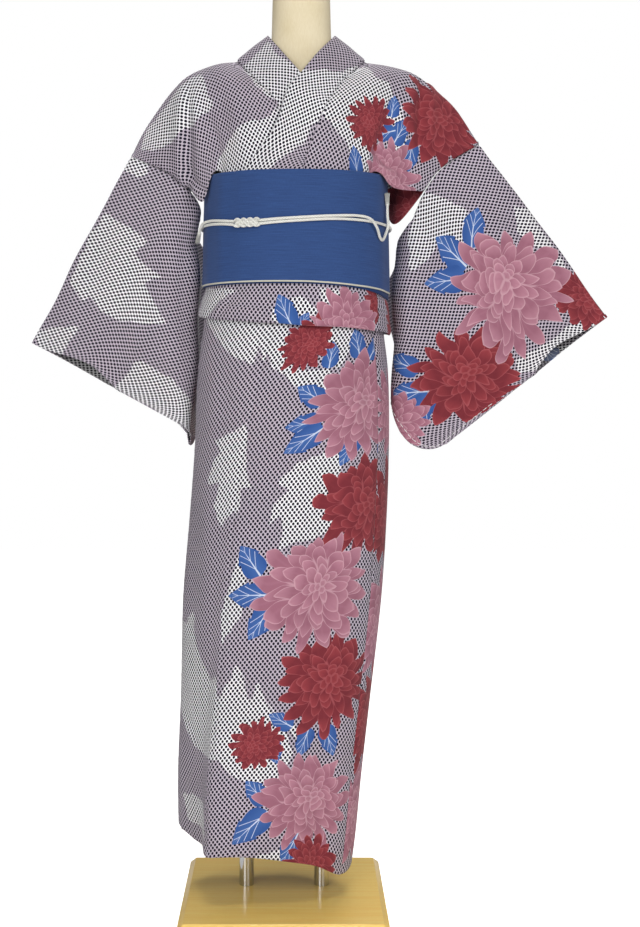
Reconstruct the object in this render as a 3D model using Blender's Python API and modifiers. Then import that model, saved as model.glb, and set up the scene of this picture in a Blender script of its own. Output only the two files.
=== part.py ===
"""Cotton yukata robe with its sash and cord, worn by a limbless dress form on a wooden base.

Metres, +Z up.  X runs to the wearer's left, the front faces -Y, and the origin is the centre of the
base's underside.  Left and right in names are the wearer's.  Every cloth piece is a surface worked
out from the sizes and tables below and given its wall by Solidify.
"""

import math
from typing import NamedTuple

import bmesh
import bpy
from mathutils import Vector

# ---------------------------------------------------------------- cloth and seams
WALL = 0.0016  # thickness of every cloth wall
SEAM = 0.0004  # space left between two pieces where they are sewn
LAYER = 0.0032  # from the collar band's middle to the body cloth under it
SLEEVE_SEAM = 0.0011  # the same between a sleeve and the body, which meet at an angle
UNDERLAP = 0.004  # how far a body panel runs in under the collar band

# ---------------------------------------------------------------- stand
BASE_WIDTH = 0.300
BASE_HEIGHT = 0.025
BASE_BEVEL = 0.009
POLE_RADIUS = 0.011
POLE_SPREAD = 0.113  # between the two poles' axes
POLE_Y = 0.020
FORM_FOOT = 0.790  # underside of the dress form
TOUCH = 0.0003  # clearance of parts that rest on each other
CORD_TOUCH = 0.0006  # clearance of the cord from the sash

# ---------------------------------------------------------------- sash and cord
SASH_TOP = 1.085
SASH_OUT = 0.0134  # middle of the sash's inner wrap, out from the girdle surface
SASH_STEP = 0.0021  # to the middle of its outer wrap
SASH_GAP = 0.6  # degrees open on either side of the centre back, under the tie
SASH_UNDER_DROP = 0.002  # how much lower the inner wrap's edges lie
SASH_LEAN = 0.0065  # how much further down its foot runs out at the wearer's left
SASH_LEAN_ANGLE = 10.0
SASH_LEAN_SPREAD = 26.0
PANEL_OUT = 0.0102  # body panel of the wearer's left, under the sash
UNDER_PANEL_OUT = 0.0074  # body panel of the wearer's right, under both
TIE_WIDTH = 0.165
TIE_TOP = 1.128
TIE_FOOT = 0.872
TIE_HALF_DEPTH = 0.0038  # half the space between its two layers
TIE_GAP = 0.0056  # from the sash to the middle of that space
TIE_SAG = 2.2  # curve of the tie about the back, per metre
TIE_LEAN = 0.009  # how far its foot stands out over the waist tuck
TIE_LEAN_TOP = 0.955
TIE_LEAN_RUN = 0.050
CORD_DIAMETER = 0.0040

# ---------------------------------------------------------------- skirt wrap
LAP = 0.0036  # how much further out each full turn of the wrapped skirt lies
SKIRT_TOP = 0.935
SKIRT_MIDDLE = 0.3  # height at which a panel's columns are first placed
WRAP_START = -34.0  # angle of the innermost edge, degrees from the wearer's left towards the front
LEFT_SIDE_SEAM = 391.0
RIGHT_SIDE_SEAM = 145.0
BACK_SEAM = 270.0
OKUMI_TURN = 68.0  # angle covered by one okumi panel


class Ring(NamedTuple):
    """Horizontal section of the girdle surface that all lower pieces are offset from."""

    z: float
    right: float
    left: float
    front: float
    back: float
    middle: float


RINGS = (
    Ring(0.040, -0.1485, 0.0940, -0.079, 0.086, 0.012),
    Ring(0.105, -0.1509, 0.1027, -0.082, 0.090, 0.012),
    Ring(0.200, -0.1517, 0.1119, -0.088, 0.095, 0.010),
    Ring(0.300, -0.1487, 0.1232, -0.094, 0.101, 0.008),
    Ring(0.455, -0.1452, 0.1404, -0.101, 0.109, 0.006),
    Ring(0.570, -0.1359, 0.1479, -0.105, 0.114, 0.004),
    Ring(0.690, -0.1268, 0.1515, -0.106, 0.117, 0.004),
    Ring(0.800, -0.1220, 0.1500, -0.104, 0.114, 0.003),
    Ring(0.870, -0.1146, 0.1430, -0.0975, 0.0925, 0.001),
    Ring(0.925, -0.1067, 0.1418, -0.0967, 0.0887, 0.0),
    Ring(1.000, -0.1045, 0.1403, -0.0967, 0.0877, 0.0),
    Ring(1.100, -0.1015, 0.1383, -0.0967, 0.0877, 0.0),
)
RING_POWER = 2.2  # superellipse power of every ring


class FormRing(NamedTuple):
    """Horizontal section of the dress form."""

    z: float
    right: float
    left: float
    front: float
    back: float


FORM_RINGS = (
    FormRing(0.790, -0.1040, 0.1320, -0.086, 0.094),
    FormRing(0.810, -0.1100, 0.1380, -0.090, 0.098),
    FormRing(0.860, -0.1070, 0.1390, -0.0920, 0.0880),
    FormRing(0.925, -0.1046, 0.1396, -0.0946, 0.0866),
    FormRing(0.950, -0.1034, 0.1390, -0.0946, 0.0856),
    FormRing(1.000, -0.1055, 0.1425, -0.0970, 0.0900),
    FormRing(1.055, -0.1045, 0.1425, -0.0930, 0.0905),
    FormRing(1.100, -0.1020, 0.1415, -0.0890, 0.0870),
    FormRing(1.140, -0.1015, 0.1430, -0.0800, 0.0820),
    FormRing(1.180, -0.1030, 0.1470, -0.0660, 0.0740),
    FormRing(1.210, -0.1080, 0.1560, -0.0500, 0.0620),
    FormRing(1.228, -0.1080, 0.1600, -0.0400, 0.0520),
    FormRing(1.237, -0.0940, 0.1440, -0.0340, 0.0460),
    FormRing(1.244, -0.0660, 0.1140, -0.0300, 0.0440),
    FormRing(1.254, -0.0350, 0.0860, -0.0290, 0.0420),
    FormRing(1.272, -0.0210, 0.0730, -0.0290, 0.0400),
    FormRing(1.300, -0.0185, 0.0705, -0.0320, 0.0400),
    FormRing(1.335, -0.0175, 0.0695, -0.0390, 0.0415),
    FormRing(1.372, -0.0165, 0.0685, -0.0405, 0.0415),
    FormRing(1.380, -0.0120, 0.0640, -0.0370, 0.0380),
)


class Height(NamedTuple):
    """A height, or another size, that goes with an angle round the body."""

    angle: float
    z: float


HEM = (  # hem of the wrapped skirt, from its innermost edge to its outermost
    Height(-34.0, 0.165),
    Height(35.0, 0.150),
    Height(145.0, 0.122),
    Height(180.0, 0.110),
    Height(230.0, 0.092),
    Height(300.0, 0.082),
    Height(360.0, 0.070),
    Height(391.0, 0.0610),
    Height(417.0, 0.0820),
    Height(437.0, 0.0940),
    Height(460.0, 0.1035),
    Height(480.0, 0.1050),
    Height(497.0, 0.1020),
    Height(520.0, 0.1055),
    Height(545.0, 0.118),
    Height(580.0, 0.130),
)
TUCK_FOLD = (  # bottom fold of the waist tuck
    Height(0.0, 0.853),
    Height(50.0, 0.860),
    Height(90.0, 0.865),
    Height(140.0, 0.874),
    Height(190.0, 0.881),
    Height(270.0, 0.872),
    Height(360.0, 0.853),
    Height(400.0, 0.855),
)
SASH_FOOT = (  # lower edge of the sash's outer wrap
    Height(-90.0, 0.920),
    Height(0.0, 0.913),
    Height(45.0, 0.920),
    Height(90.0, 0.926),
    Height(180.0, 0.924),
    Height(270.0, 0.920),
)


class TuckStep(NamedTuple):
    """One step of the waist tuck's profile: height above a line, and distance from the girdle."""

    line: str  # "top", "sash" (foot of the sash) or "fold" (bottom fold of the tuck)
    above: float
    out: float


TUCK_PROFILE = (
    TuckStep("top", 0.0, PANEL_OUT),
    TuckStep("sash", -0.005, PANEL_OUT + 0.0002),
    TuckStep("sash", -0.015, PANEL_OUT + 0.0026),
    TuckStep("fold", 0.016, 0.0146),
    TuckStep("fold", 0.005, 0.0150),
    TuckStep("fold", 0.0, 0.0126),
    TuckStep("fold", 0.005, 0.0102),
    TuckStep("fold", 0.018, 0.0094),
    TuckStep("top", -0.045, 0.0088),
)
TUCK_TOP = 0.950  # upper edge of the waist tuck, under the sash


class SeamRow(NamedTuple):
    """Where the front okumi seam runs, and how the cloth folds there, at one height."""

    z: float
    angle: float
    flare: float  # how far the front panel's edge stands forward
    recess: float  # how far the cloth behind that edge falls in


OKUMI_SEAM = (
    SeamRow(0.060, 497.5, 0.037, 0.021),
    SeamRow(0.127, 493.5, 0.033, 0.019),
    SeamRow(0.257, 487.5, 0.019, 0.012),
    SeamRow(0.420, 481.5, 0.009, 0.006),
    SeamRow(0.632, 479.0, 0.003, 0.002),
    SeamRow(0.736, 472.0, 0.001, 0.000),
    SeamRow(0.850, 462.0, 0.000, 0.000),
    SeamRow(0.950, 456.0, 0.000, 0.000),
)
FOLD_FADE = 0.38  # run over which a skirt fold dies out at its upper end
RECESS_ANGLE = 150.0
RECESS_SPREAD = 20.0
FLARE_SPREAD = 30.0
FLARE_RETURN = 10.0
OKUMI_TUCK_IN = 16.0  # degrees the okumi starts behind the seam for each metre of flare


class SkirtFold(NamedTuple):
    """A long soft fold of the skirt, from the hem up to `high`; a negative depth is a trough."""

    angle: float
    spread: float
    depth: float
    high: float


SKIRT_FOLDS = (
    SkirtFold(58.0, 9.0, -0.0030, 0.55),
    SkirtFold(84.0, 12.0, 0.0025, 0.62),
    SkirtFold(168.0, 9.0, -0.0040, 0.46),
    SkirtFold(190.0, 10.0, 0.0040, 0.52),
    SkirtFold(212.0, 10.0, -0.0060, 0.62),
    SkirtFold(236.0, 11.0, 0.0060, 0.58),
    SkirtFold(262.0, 11.0, -0.0070, 0.66),
    SkirtFold(288.0, 12.0, 0.0060, 0.60),
    SkirtFold(312.0, 10.0, -0.0055, 0.64),
    SkirtFold(334.0, 9.0, 0.0045, 0.50),
)


class CollarRow(NamedTuple):
    """One station of the collar band: its neck edge, then the edge sewn to the body."""

    name: str
    neck: tuple
    sewn: tuple
    crown: float  # how far the band's middle stands forward of a straight line between its edges


COLLAR_ROWS = (
    CollarRow("left front, under the sash", (-0.0615, -0.0884, 1.0560), (0.0220, -0.1076, 1.0520), 0.0053),
    CollarRow("left front, at the sash", (-0.0505, -0.0937, 1.0930), (0.0277, -0.1074, 1.0885), 0.0048),
    CollarRow("left front, over the bust", (-0.0123, -0.0930, 1.1495), (0.0345, -0.1040, 1.1150), 0.0024),
    CollarRow("left front, at the crossing", (0.0060, -0.0800, 1.2050), (0.0560, -0.0930, 1.1720), 0.0008),
    CollarRow("left chest", (0.0245, -0.0640, 1.2316), (0.0680, -0.0790, 1.1960), 0.0),
    CollarRow("left neck, front", (0.0510, -0.0385, 1.2680), (0.0900, -0.0480, 1.2290), 0.0),
    CollarRow("left neck, side", (0.0765, 0.0050, 1.3015), (0.1215, 0.0120, 1.2675), 0.0),
    CollarRow("left neck, back", (0.0640, 0.0490, 1.3000), (0.0860, 0.0640, 1.2600), 0.0),
    CollarRow("centre back", (0.0265, 0.0640, 1.2960), (0.0265, 0.0860, 1.2500), 0.0),
    CollarRow("right neck, back", (-0.0110, 0.0490, 1.3000), (-0.0330, 0.0640, 1.2600), 0.0),
    CollarRow("right neck, side", (-0.0240, 0.0050, 1.3015), (-0.0700, 0.0120, 1.2685), 0.0),
    CollarRow("right neck, front", (-0.0005, -0.0370, 1.2660), (-0.0430, -0.0440, 1.2300), 0.0),
    CollarRow("right chest", (0.0237, -0.0590, 1.2340), (-0.0150, -0.0720, 1.1960), 0.0),
    CollarRow("right front, under the crossing", (0.0430, -0.0740, 1.2000), (0.0000, -0.0850, 1.1550), 0.0),
    CollarRow("right front, over the bust", (0.0600, -0.0860, 1.1500), (0.0100, -0.0950, 1.1080), 0.0010),
    CollarRow("right front, at the sash", (0.0720, -0.0900, 1.1050), (0.0140, -0.0985, 1.0700), 0.0030),
    CollarRow("right front, under the sash", (0.0800, -0.0915, 1.0660), (0.0180, -0.1005, 1.0430), 0.0036),
)
COLLAR_BACK = 8  # row at the centre back
LEFT_NECK_SIDE = 6
RIGHT_NECK_SIDE = 10
NECK_SHARE = 4 / 12  # part of a back panel's inner edge that lies along the collar
COLLAR_BODY_CENTRE = Vector((0.026, 0.0, 1.10))
NEAR_EDGE = 0.07  # part of the band's width over which its slope at the sewn edge is taken
STEP_ALONG = 0.01  # and part of its length


class Foot(NamedTuple):
    """Lower end of a body panel's line, at the sash."""

    turn: float  # angle away from the side of the body
    z: float
    outward: float  # extra distance from the body


class Station(NamedTuple):
    """A front-to-back line of a body panel: its place on the shoulder and its two feet."""

    ridge_x: float
    ridge_z: float
    front: Foot
    back: Foot


# parts of the way from the shoulder to the foot at which a line's two handles stand, on each axis
ARCH_TOP = Vector((0.25, 0.75, 0.12))
ARCH_FOOT = Vector((0.05, 0.0, 0.45))
LEFT_STATIONS = (
    Station(0.1500, 1.2565, Foot(62.0, 1.058, 0.0), Foot(62.0, 1.058, 0.0)),
    Station(0.1790, 1.2490, Foot(44.0, 1.060, 0.0), Foot(44.0, 1.060, 0.0)),
    Station(0.1960, 1.2420, Foot(34.0, 1.0862, 0.0), Foot(34.0, 1.0862, 0.0)),
    Station(0.2130, 1.2305, Foot(28.0, 1.0862, 0.0078), Foot(26.0, 1.0900, 0.008)),
    Station(0.2330, 1.2140, Foot(20.0, 1.0700, 0.0165), Foot(18.0, 1.0360, 0.0150)),
    Station(0.2580, 1.1880, Foot(12.0, 1.0660, 0.0290), Foot(8.0, 1.0235, 0.024)),
)
RIGHT_STATIONS = (
    Station(-0.0980, 1.2590, Foot(62.0, 1.058, 0.0), Foot(62.0, 1.058, 0.0)),
    Station(-0.1260, 1.2490, Foot(44.0, 1.060, 0.0), Foot(44.0, 1.060, 0.0)),
    Station(-0.1460, 1.2370, Foot(34.0, 1.0862, 0.0), Foot(34.0, 1.0862, 0.0)),
    Station(-0.1640, 1.2200, Foot(28.0, 1.0862, 0.0106), Foot(27.0, 1.0890, 0.002)),
    Station(-0.1830, 1.1970, Foot(20.0, 1.0470, 0.0170), Foot(21.0, 1.0900, 0.008)),
    Station(-0.2070, 1.1600, Foot(9.0, 1.0700, 0.0310), Foot(17.0, 1.0900, 0.014)),
)


class Level(NamedTuple):
    """The sideways place of a sleeve's inner part at one height, and half its thickness there."""

    z: float
    x: float
    half: float


class EdgeRow(NamedTuple):
    """How far a sleeve's body edge lies along the arm line, at one distance down from its fold."""

    down: float
    along: float


class Sleeve(NamedTuple):
    """One sleeve: a flat tube of cloth held out from the shoulder, its inner part turned back."""

    side: int
    seam_top: tuple  # x and z of the shoulder end of its fold
    arm: tuple  # x and z of one metre along the fold
    fall: tuple  # x and z of one metre down the cuff side
    width: float
    levels: tuple
    body_edge: tuple


SLEEVE_DROP = 0.351
CUFF_OPENING = 0.143
SLEEVE_CORNER = 0.045  # radius of the rounded lower corner at the cuff side
CORNER_SHARE = 8 / 12  # part of a sleeve's rows that come before that corner
SLEEVE_SWELL = 0.018  # half the space between a sleeve's two layers, where it is widest
CUFF_SWELL = 0.013
CUFF_DROOP = 0.016  # how far the front layer's cuff edge is drawn back
SLEEVE_STEPS = 32  # columns about a sleeve's tube
ARMHOLE_STEPS = 6  # of them, either way from the fold, that are sewn to the body
TURN_RADIUS = 0.005  # of the bend where a sleeve meets the side of the body
TURN_STRAIGHT = 0.030  # run of cloth behind that bend
TAIL_RADIUS = 0.140  # of the wide curve behind the body

LEFT_SLEEVE = Sleeve(
    side=1,
    seam_top=(0.2917, 1.1375),
    arm=(0.597, -0.802),
    fall=(-0.787, -0.617),
    width=0.3207,
    levels=(
        Level(0.640, 0.1575, 0.004),
        Level(0.700, 0.1582, 0.005),
        Level(0.750, 0.1578, 0.009),
        Level(0.800, 0.1585, 0.014),
        Level(0.850, 0.1605, 0.018),
        Level(0.920, 0.1600, 0.018),
        Level(0.980, 0.1635, 0.017),
        Level(1.050, 0.1660, 0.012),
        Level(1.150, 0.1800, 0.006),
    ),
    body_edge=(
        EdgeRow(0.0, 0.0),
        EdgeRow(0.068, -0.006),
        EdgeRow(0.107, 0.005),
        EdgeRow(0.156, 0.028),
        EdgeRow(0.230, 0.022),
        EdgeRow(0.351, 0.0),
    ),
)
RIGHT_SLEEVE = Sleeve(
    side=-1,
    seam_top=(-0.2288, 1.1196),
    arm=(-0.466, -0.885),
    fall=(0.876, -0.483),
    width=0.3146,
    levels=(
        Level(0.640, -0.1370, 0.007),
        Level(0.700, -0.1352, 0.008),
        Level(0.750, -0.1328, 0.011),
        Level(0.800, -0.1312, 0.014),
        Level(0.870, -0.1300, 0.018),
        Level(0.930, -0.1275, 0.018),
        Level(1.000, -0.1272, 0.017),
        Level(1.050, -0.1222, 0.010),
        Level(1.150, -0.1440, 0.006),
    ),
    body_edge=(
        EdgeRow(0.0, 0.0),
        EdgeRow(0.068, -0.004),
        EdgeRow(0.107, 0.004),
        EdgeRow(0.156, 0.020),
        EdgeRow(0.230, 0.016),
        EdgeRow(0.351, 0.0),
    ),
)


class CordStop(NamedTuple):
    """A point of the cord's route on the sash: angle round the body, height, and lift off it."""

    angle: float
    z: float
    lift: float


KNOT_ANGLE = 119.5
KNOT_Z = 1.0090
KNOT_SIZE = (0.038, 0.0095, 0.017)
CORD_LOOP = (  # from the knot round the wearer's left side and the back to the knot again
    CordStop(111.0, 1.0080, 0.0),
    CordStop(95.0, 1.0110, 0.0),
    CordStop(70.0, 1.0150, 0.0),
    CordStop(48.0, 1.0150, 0.0),
    CordStop(25.0, 1.0125, 0.0),
    CordStop(0.0, 1.0100, 0.0),
    CordStop(-20.0, 1.0090, 0.0),
    CordStop(-36.0, 1.0080, 0.004),
    CordStop(-47.0, 1.0070, 0.0110),
    CordStop(-56.0, 1.0065, 0.0145),
    CordStop(-72.0, 1.0055, 0.0125),
    CordStop(-90.0, 1.0050, 0.0108),
    CordStop(-108.0, 1.0055, 0.0125),
    CordStop(-124.0, 1.0065, 0.0145),
    CordStop(-133.0, 1.0070, 0.0110),
    CordStop(-144.0, 1.0080, 0.004),
    CordStop(-160.0, 1.0090, 0.0),
    CordStop(-180.0, 1.0110, 0.0),
    CordStop(-205.0, 1.0120, 0.0),
    CordStop(-222.0, 1.0105, 0.0),
    CordStop(-232.0, 1.0080, 0.0),
)
CORD_LEFT_END = (  # laid over the loop, turned down at the side, then up behind it
    CordStop(111.5, 1.0127, 0.0),
    CordStop(95.0, 1.0154, 0.0),
    CordStop(70.0, 1.0194, 0.0),
    CordStop(52.0, 1.0210, 0.0),
    CordStop(43.0, 1.0175, 0.0040),
    CordStop(37.0, 1.0060, 0.0045),
    CordStop(32.0, 0.9930, 0.0015),
    CordStop(27.5, 0.9895, 0.0),
    CordStop(24.5, 0.9960, 0.0012),
    CordStop(23.0, 1.0110, 0.0050),
    CordStop(21.5, 1.0260, 0.0030),
    CordStop(20.5, 1.0400, 0.0022),
)
CORD_RIGHT_END = (  # laid over the loop to the side, where it falls
    CordStop(127.5, 1.0127, 0.0),
    CordStop(140.0, 1.0154, 0.0),
    CordStop(152.0, 1.0170, 0.0005),
    CordStop(159.0, 1.0150, 0.0040),
    CordStop(164.0, 1.0090, 0.0048),
    CordStop(166.0, 1.0040, 0.0050),
)
TASSEL_LENGTH = 0.020
TASSEL_RADIUS = 0.0034


# ---------------------------------------------------------------- reading the tables
def read(rows, value, column):
    """Value of a column where the rows' first column is `value`, on a smooth curve through the rows."""
    keys = [row[0] for row in rows]
    values = [getattr(row, column) for row in rows]
    last = len(rows) - 1
    if value <= keys[0]:
        return values[0]
    if value >= keys[last]:
        return values[last]
    at = max(i for i in range(last) if keys[i] <= value)

    def slope(i):
        """Slope at row i, from its neighbours."""
        low, high = max(i - 1, 0), min(i + 1, last)
        return (values[high] - values[low]) / (keys[high] - keys[low])

    span = keys[at + 1] - keys[at]
    t = (value - keys[at]) / span
    return (
        values[at] * (2 * t**3 - 3 * t**2 + 1)
        + slope(at) * span * (t**3 - 2 * t**2 + t)
        + values[at + 1] * (3 * t**2 - 2 * t**3)
        + slope(at + 1) * span * (t**3 - t**2)
    )


def through(points, t):
    """Point at t, from 0 to 1, on a smooth curve through evenly counted points."""
    last = len(points) - 1
    place = min(max(t, 0.0), 1.0) * last
    at = min(int(place), last - 1)
    f = place - at
    a = points[max(at - 1, 0)]
    b = points[at]
    c = points[at + 1]
    d = points[min(at + 2, last)]
    return (
        b * 2
        + (c - a) * f
        + (a * 2 - b * 5 + c * 4 - d) * f**2
        + (b * 3 - a - c * 3 + d) * f**3
    ) * 0.5


def bell(value, spread):
    """1 at zero, falling smoothly to nothing on either side."""
    return math.exp(-((value / spread) ** 2))


def ease(value):
    """0 below 0, 1 above 1 and a smooth step between."""
    t = min(max(value, 0.0), 1.0)
    return t * t * (3 - 2 * t)


# ---------------------------------------------------------------- the surfaces
def section(left, right, front, back, middle, angle, out):
    """Point of a superellipse section, moved out along its normal."""
    a = math.radians(angle)
    c, s = math.cos(a), math.sin(a)
    half = (left - right) / 2
    depth = middle - front if s > 0 else back - middle
    power = 2 / RING_POWER
    x = (left + right) / 2 + half * math.copysign(abs(c) ** power, c)
    y = middle - depth * math.copysign(abs(s) ** power, s)
    normal = Vector((c / half, -s / depth, 0)).normalized()
    return x + normal.x * out, y + normal.y * out


def girdle(angle, z, out):
    """Point at an angle and height, `out` metres outside the girdle surface."""
    ring = {name: read(RINGS, z, name) for name in Ring._fields[1:]}
    x, y = section(ring["left"], ring["right"], ring["front"], ring["back"], ring["middle"], angle, out)
    return Vector((x, y, z))


def skirt_point(angle, z):
    """Point of the wrapped skirt: a spiral that lies further out with each turn."""
    out = (angle - WRAP_START) / 360 * LAP
    turn = angle % 360
    out -= read(OKUMI_SEAM, z, "recess") * bell(turn - RECESS_ANGLE, RECESS_SPREAD)
    for fold in SKIRT_FOLDS:
        if z < fold.high:
            fade = ease((fold.high - z) / FOLD_FADE)
            gap = (turn - fold.angle + 180) % 360 - 180
            out += fold.depth * bell(gap, fold.spread) * fade
    point = girdle(angle, z, out)
    if angle > LEFT_SIDE_SEAM:
        past = angle - read(OKUMI_SEAM, z, "angle")
        hold = 1 - ease(past / FLARE_RETURN) if past > 0 else bell(past, FLARE_SPREAD)
        point.y -= read(OKUMI_SEAM, z, "flare") * hold
    return point


def skirt_panel(start, end):
    """Surface of the skirt between two lines, each an angle for every height."""

    def surface(u, v):
        guess = start(SKIRT_MIDDLE) + (end(SKIRT_MIDDLE) - start(SKIRT_MIDDLE)) * u
        low = read(HEM, guess, "z")
        z = SKIRT_TOP + (low - SKIRT_TOP) * v
        angle = start(z) + (end(z) - start(z)) * u
        z = SKIRT_TOP + (read(HEM, angle, "z") - SKIRT_TOP) * v
        return skirt_point(angle, z)

    return surface


def tuck_panel(start, end):
    """Surface of the waist tuck: down from under the sash, round its bottom fold and up inside."""

    def surface(u, v):
        angle = start + (end - start) * u
        lines = {
            "top": TUCK_TOP,
            "sash": read(SASH_FOOT, (angle + 90) % 360 - 90, "z"),
            "fold": read(TUCK_FOLD, angle % 360, "z"),
        }
        place = v * (len(TUCK_PROFILE) - 1)
        at = min(int(place), len(TUCK_PROFILE) - 2)
        f = place - at
        low, high = TUCK_PROFILE[at], TUCK_PROFILE[at + 1]
        z = (lines[low.line] + low.above) * (1 - f) + (lines[high.line] + high.above) * f
        return girdle(angle, z, low.out * (1 - f) + high.out * f)

    return surface


def sleeve_point(sleeve, along, around):
    """Point of a sleeve: `along` 0 at the body and 1 at the cuff, `around` an angle about its tube.

    `around` is 0 at the upper fold, positive over the front layer and half a turn at the bottom fold.
    """
    corner = max(0.0, along - CORNER_SHARE) / (1 - CORNER_SHARE) * math.pi / 2
    straight = min(along / CORNER_SHARE, 1.0) * (sleeve.width - SLEEVE_CORNER)
    straight += SLEEVE_CORNER * math.sin(corner)
    drop = SLEEVE_DROP - SLEEVE_CORNER * (1 - math.cos(corner))
    down = drop * (1 - math.cos(around)) / 2
    front = math.sin(around) > 0
    start = read(sleeve.body_edge, down, "along")
    end = sleeve.width
    mouth = math.sin(math.pi * min(down / CUFF_OPENING, 1.0))
    if front:
        end -= CUFF_DROOP * max(mouth, 0.0) * min(1.0, down / CUFF_OPENING * 1.5)
    reach = start + (end - start) * straight / sleeve.width
    closed = WALL / 2 + SEAM
    near_cuff = ease((straight - (sleeve.width - 0.10)) / 0.10)
    swell = SLEEVE_SWELL * abs(math.sin(around)) * (0.6 + 0.4 * ease(straight / 0.09))
    cuff = max(closed, CUFF_SWELL * max(mouth, 0.0)) * min(1.0, abs(math.sin(around)) * 6)
    half = swell + (cuff - swell) * near_cuff
    x = sleeve.seam_top[0] + sleeve.arm[0] * reach + sleeve.fall[0] * down
    z = sleeve.seam_top[1] + sleeve.arm[1] * reach + sleeve.fall[1] * down
    y = -half if front else half
    return turned_back(sleeve, x, y, z)


def turned_back(sleeve, x, y, z):
    """A sleeve's point, bent backwards where the sleeve reaches the side of the body."""
    plane = read(sleeve.levels, z, "x")
    half = read(sleeve.levels, z, "half")
    middle = half + TURN_RADIUS
    widest = middle + half
    inside = sleeve.side * (plane - x) + widest
    if inside <= 0:
        return Vector((x, y, z))
    angle = min(inside / widest, math.pi / 2)
    radius = middle - y
    out = widest - radius * math.sin(angle)
    deep = middle - radius * math.cos(angle)
    rest = max(0.0, inside - widest * math.pi / 2)
    curl = max(0.0, rest - TURN_STRAIGHT) / TAIL_RADIUS
    deep += min(rest, TURN_STRAIGHT) + (TAIL_RADIUS + out) * math.sin(curl)
    out = (TAIL_RADIUS + out) * math.cos(curl) - TAIL_RADIUS
    return Vector((plane + sleeve.side * out, deep, z))


def sleeve_chord(sleeve, along, steps):
    """Point of a sleeve `steps` columns from its fold, on the straight line between two columns."""
    turn = 2 * math.pi / SLEEVE_STEPS
    low = math.floor(steps)
    start = sleeve_point(sleeve, along, low * turn)
    return start.lerp(sleeve_point(sleeve, along, (low + 1) * turn), steps - low)


def collar_point(u, v):
    """Point of the collar band: u along it from the left front end, v from neck edge to sewn edge."""
    neck = through([Vector(row.neck) for row in COLLAR_ROWS], u)
    sewn = through([Vector(row.sewn) for row in COLLAR_ROWS], u)
    crown = through([row.crown for row in COLLAR_ROWS], u)
    return neck.lerp(sewn, v) - Vector((0, 4 * v * (1 - v) * crown, 0))


def under_collar(place, inset):
    """Point of a body panel beneath the collar, `inset` in from the sewn edge, at a counted row."""
    last = len(COLLAR_ROWS) - 1
    u = place / last
    sewn = collar_point(u, 1)
    across = (collar_point(u, 1 - NEAR_EDGE) - sewn).normalized()
    along = collar_point(u + STEP_ALONG, 1) - collar_point(u - STEP_ALONG, 1)
    inward = across.cross(along).normalized()
    if inward.dot(COLLAR_BODY_CENTRE - sewn) < 0:
        inward = -inward
    return sewn + across * inset + inward * LAYER


def arch(ridge, foot, t):
    """Point on the curve of cloth from the shoulder, t = 0, over the chest or back to a foot, t = 1."""
    reach = foot - ridge
    first = ridge + Vector(a * b for a, b in zip(reach, ARCH_TOP))
    second = foot - Vector(a * b for a, b in zip(reach, ARCH_FOOT))
    s = 1 - t
    return ridge * s**3 + first * (3 * s * s * t) + second * (3 * s * t * t) + foot * t**3


def neck_line(side, t, front, inset):
    """A body panel's line along the collar, and at the back on down beside the centre seam."""
    if side > 0:
        ends = (LEFT_NECK_SIDE, 0.0 if front else COLLAR_BACK)
    else:
        ends = (RIGHT_NECK_SIDE, float(len(COLLAR_ROWS) - 1) if front else COLLAR_BACK)
    if front:
        return under_collar(ends[0] + (ends[1] - ends[0]) * t, inset)
    centre = Vector((side * (SEAM / 2 + UNDERLAP - inset), 0, 0))
    if t <= NECK_SHARE:
        f = t / NECK_SHARE
        return under_collar(ends[0] + (ends[1] - ends[0]) * f, inset) + centre * ease(f)
    top = under_collar(COLLAR_BACK, inset)
    foot = girdle(270, 1.058, PANEL_OUT)
    f = (t - NECK_SHARE) / (1 - NECK_SHARE)
    point = arch(top, foot, f)
    point.x = top.x + (foot.x - top.x) * f
    return point + centre


def body_panel(side):
    """Surface of one body length from the front of the sash over the shoulder to its back."""
    stations = LEFT_STATIONS if side > 0 else RIGHT_STATIONS
    sleeve = LEFT_SLEEVE if side > 0 else RIGHT_SLEEVE
    out = PANEL_OUT if side > 0 else UNDER_PANEL_OUT

    def surface(u, v):
        front = v < 0.5
        t = abs(1 - 2 * v)
        lines = [neck_line(side, t, front, UNDERLAP), neck_line(side, t, front, -UNDERLAP)]
        for row in stations:
            foot = row.front if front else row.back
            turn = foot.turn if front else -foot.turn
            angle = turn if side > 0 else 180 - turn
            lines.append(arch(
                Vector((row.ridge_x, 0, row.ridge_z)),
                girdle(angle, foot.z, (out if front else PANEL_OUT) + foot.outward),
                t,
            ))
        steps = ARMHOLE_STEPS * (t if front else -t)
        edge = sleeve_chord(sleeve, 0.0, steps)
        away = (edge - sleeve_chord(sleeve, STEP_ALONG * 3, steps)).normalized()
        lines.append(edge + away * SLEEVE_SEAM)
        place = u * (len(lines) - 1)
        if place < 1:
            return lines[0].lerp(lines[1], place)
        return through(lines[1:], (place - 1) / (len(lines) - 2))

    return surface


def sash_wrap(out, inner):
    """Surface of one turn of the sash, open at the centre back."""

    def surface(u, v):
        angle = BACK_SEAM - 360 + SASH_GAP + (360 - 2 * SASH_GAP) * u
        z = SASH_TOP + (read(SASH_FOOT, angle, "z") - SASH_TOP) * v
        if inner:
            z -= SASH_UNDER_DROP + SASH_LEAN * bell(angle - SASH_LEAN_ANGLE, SASH_LEAN_SPREAD) * v
        return girdle(angle, z, out)

    return surface


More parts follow.
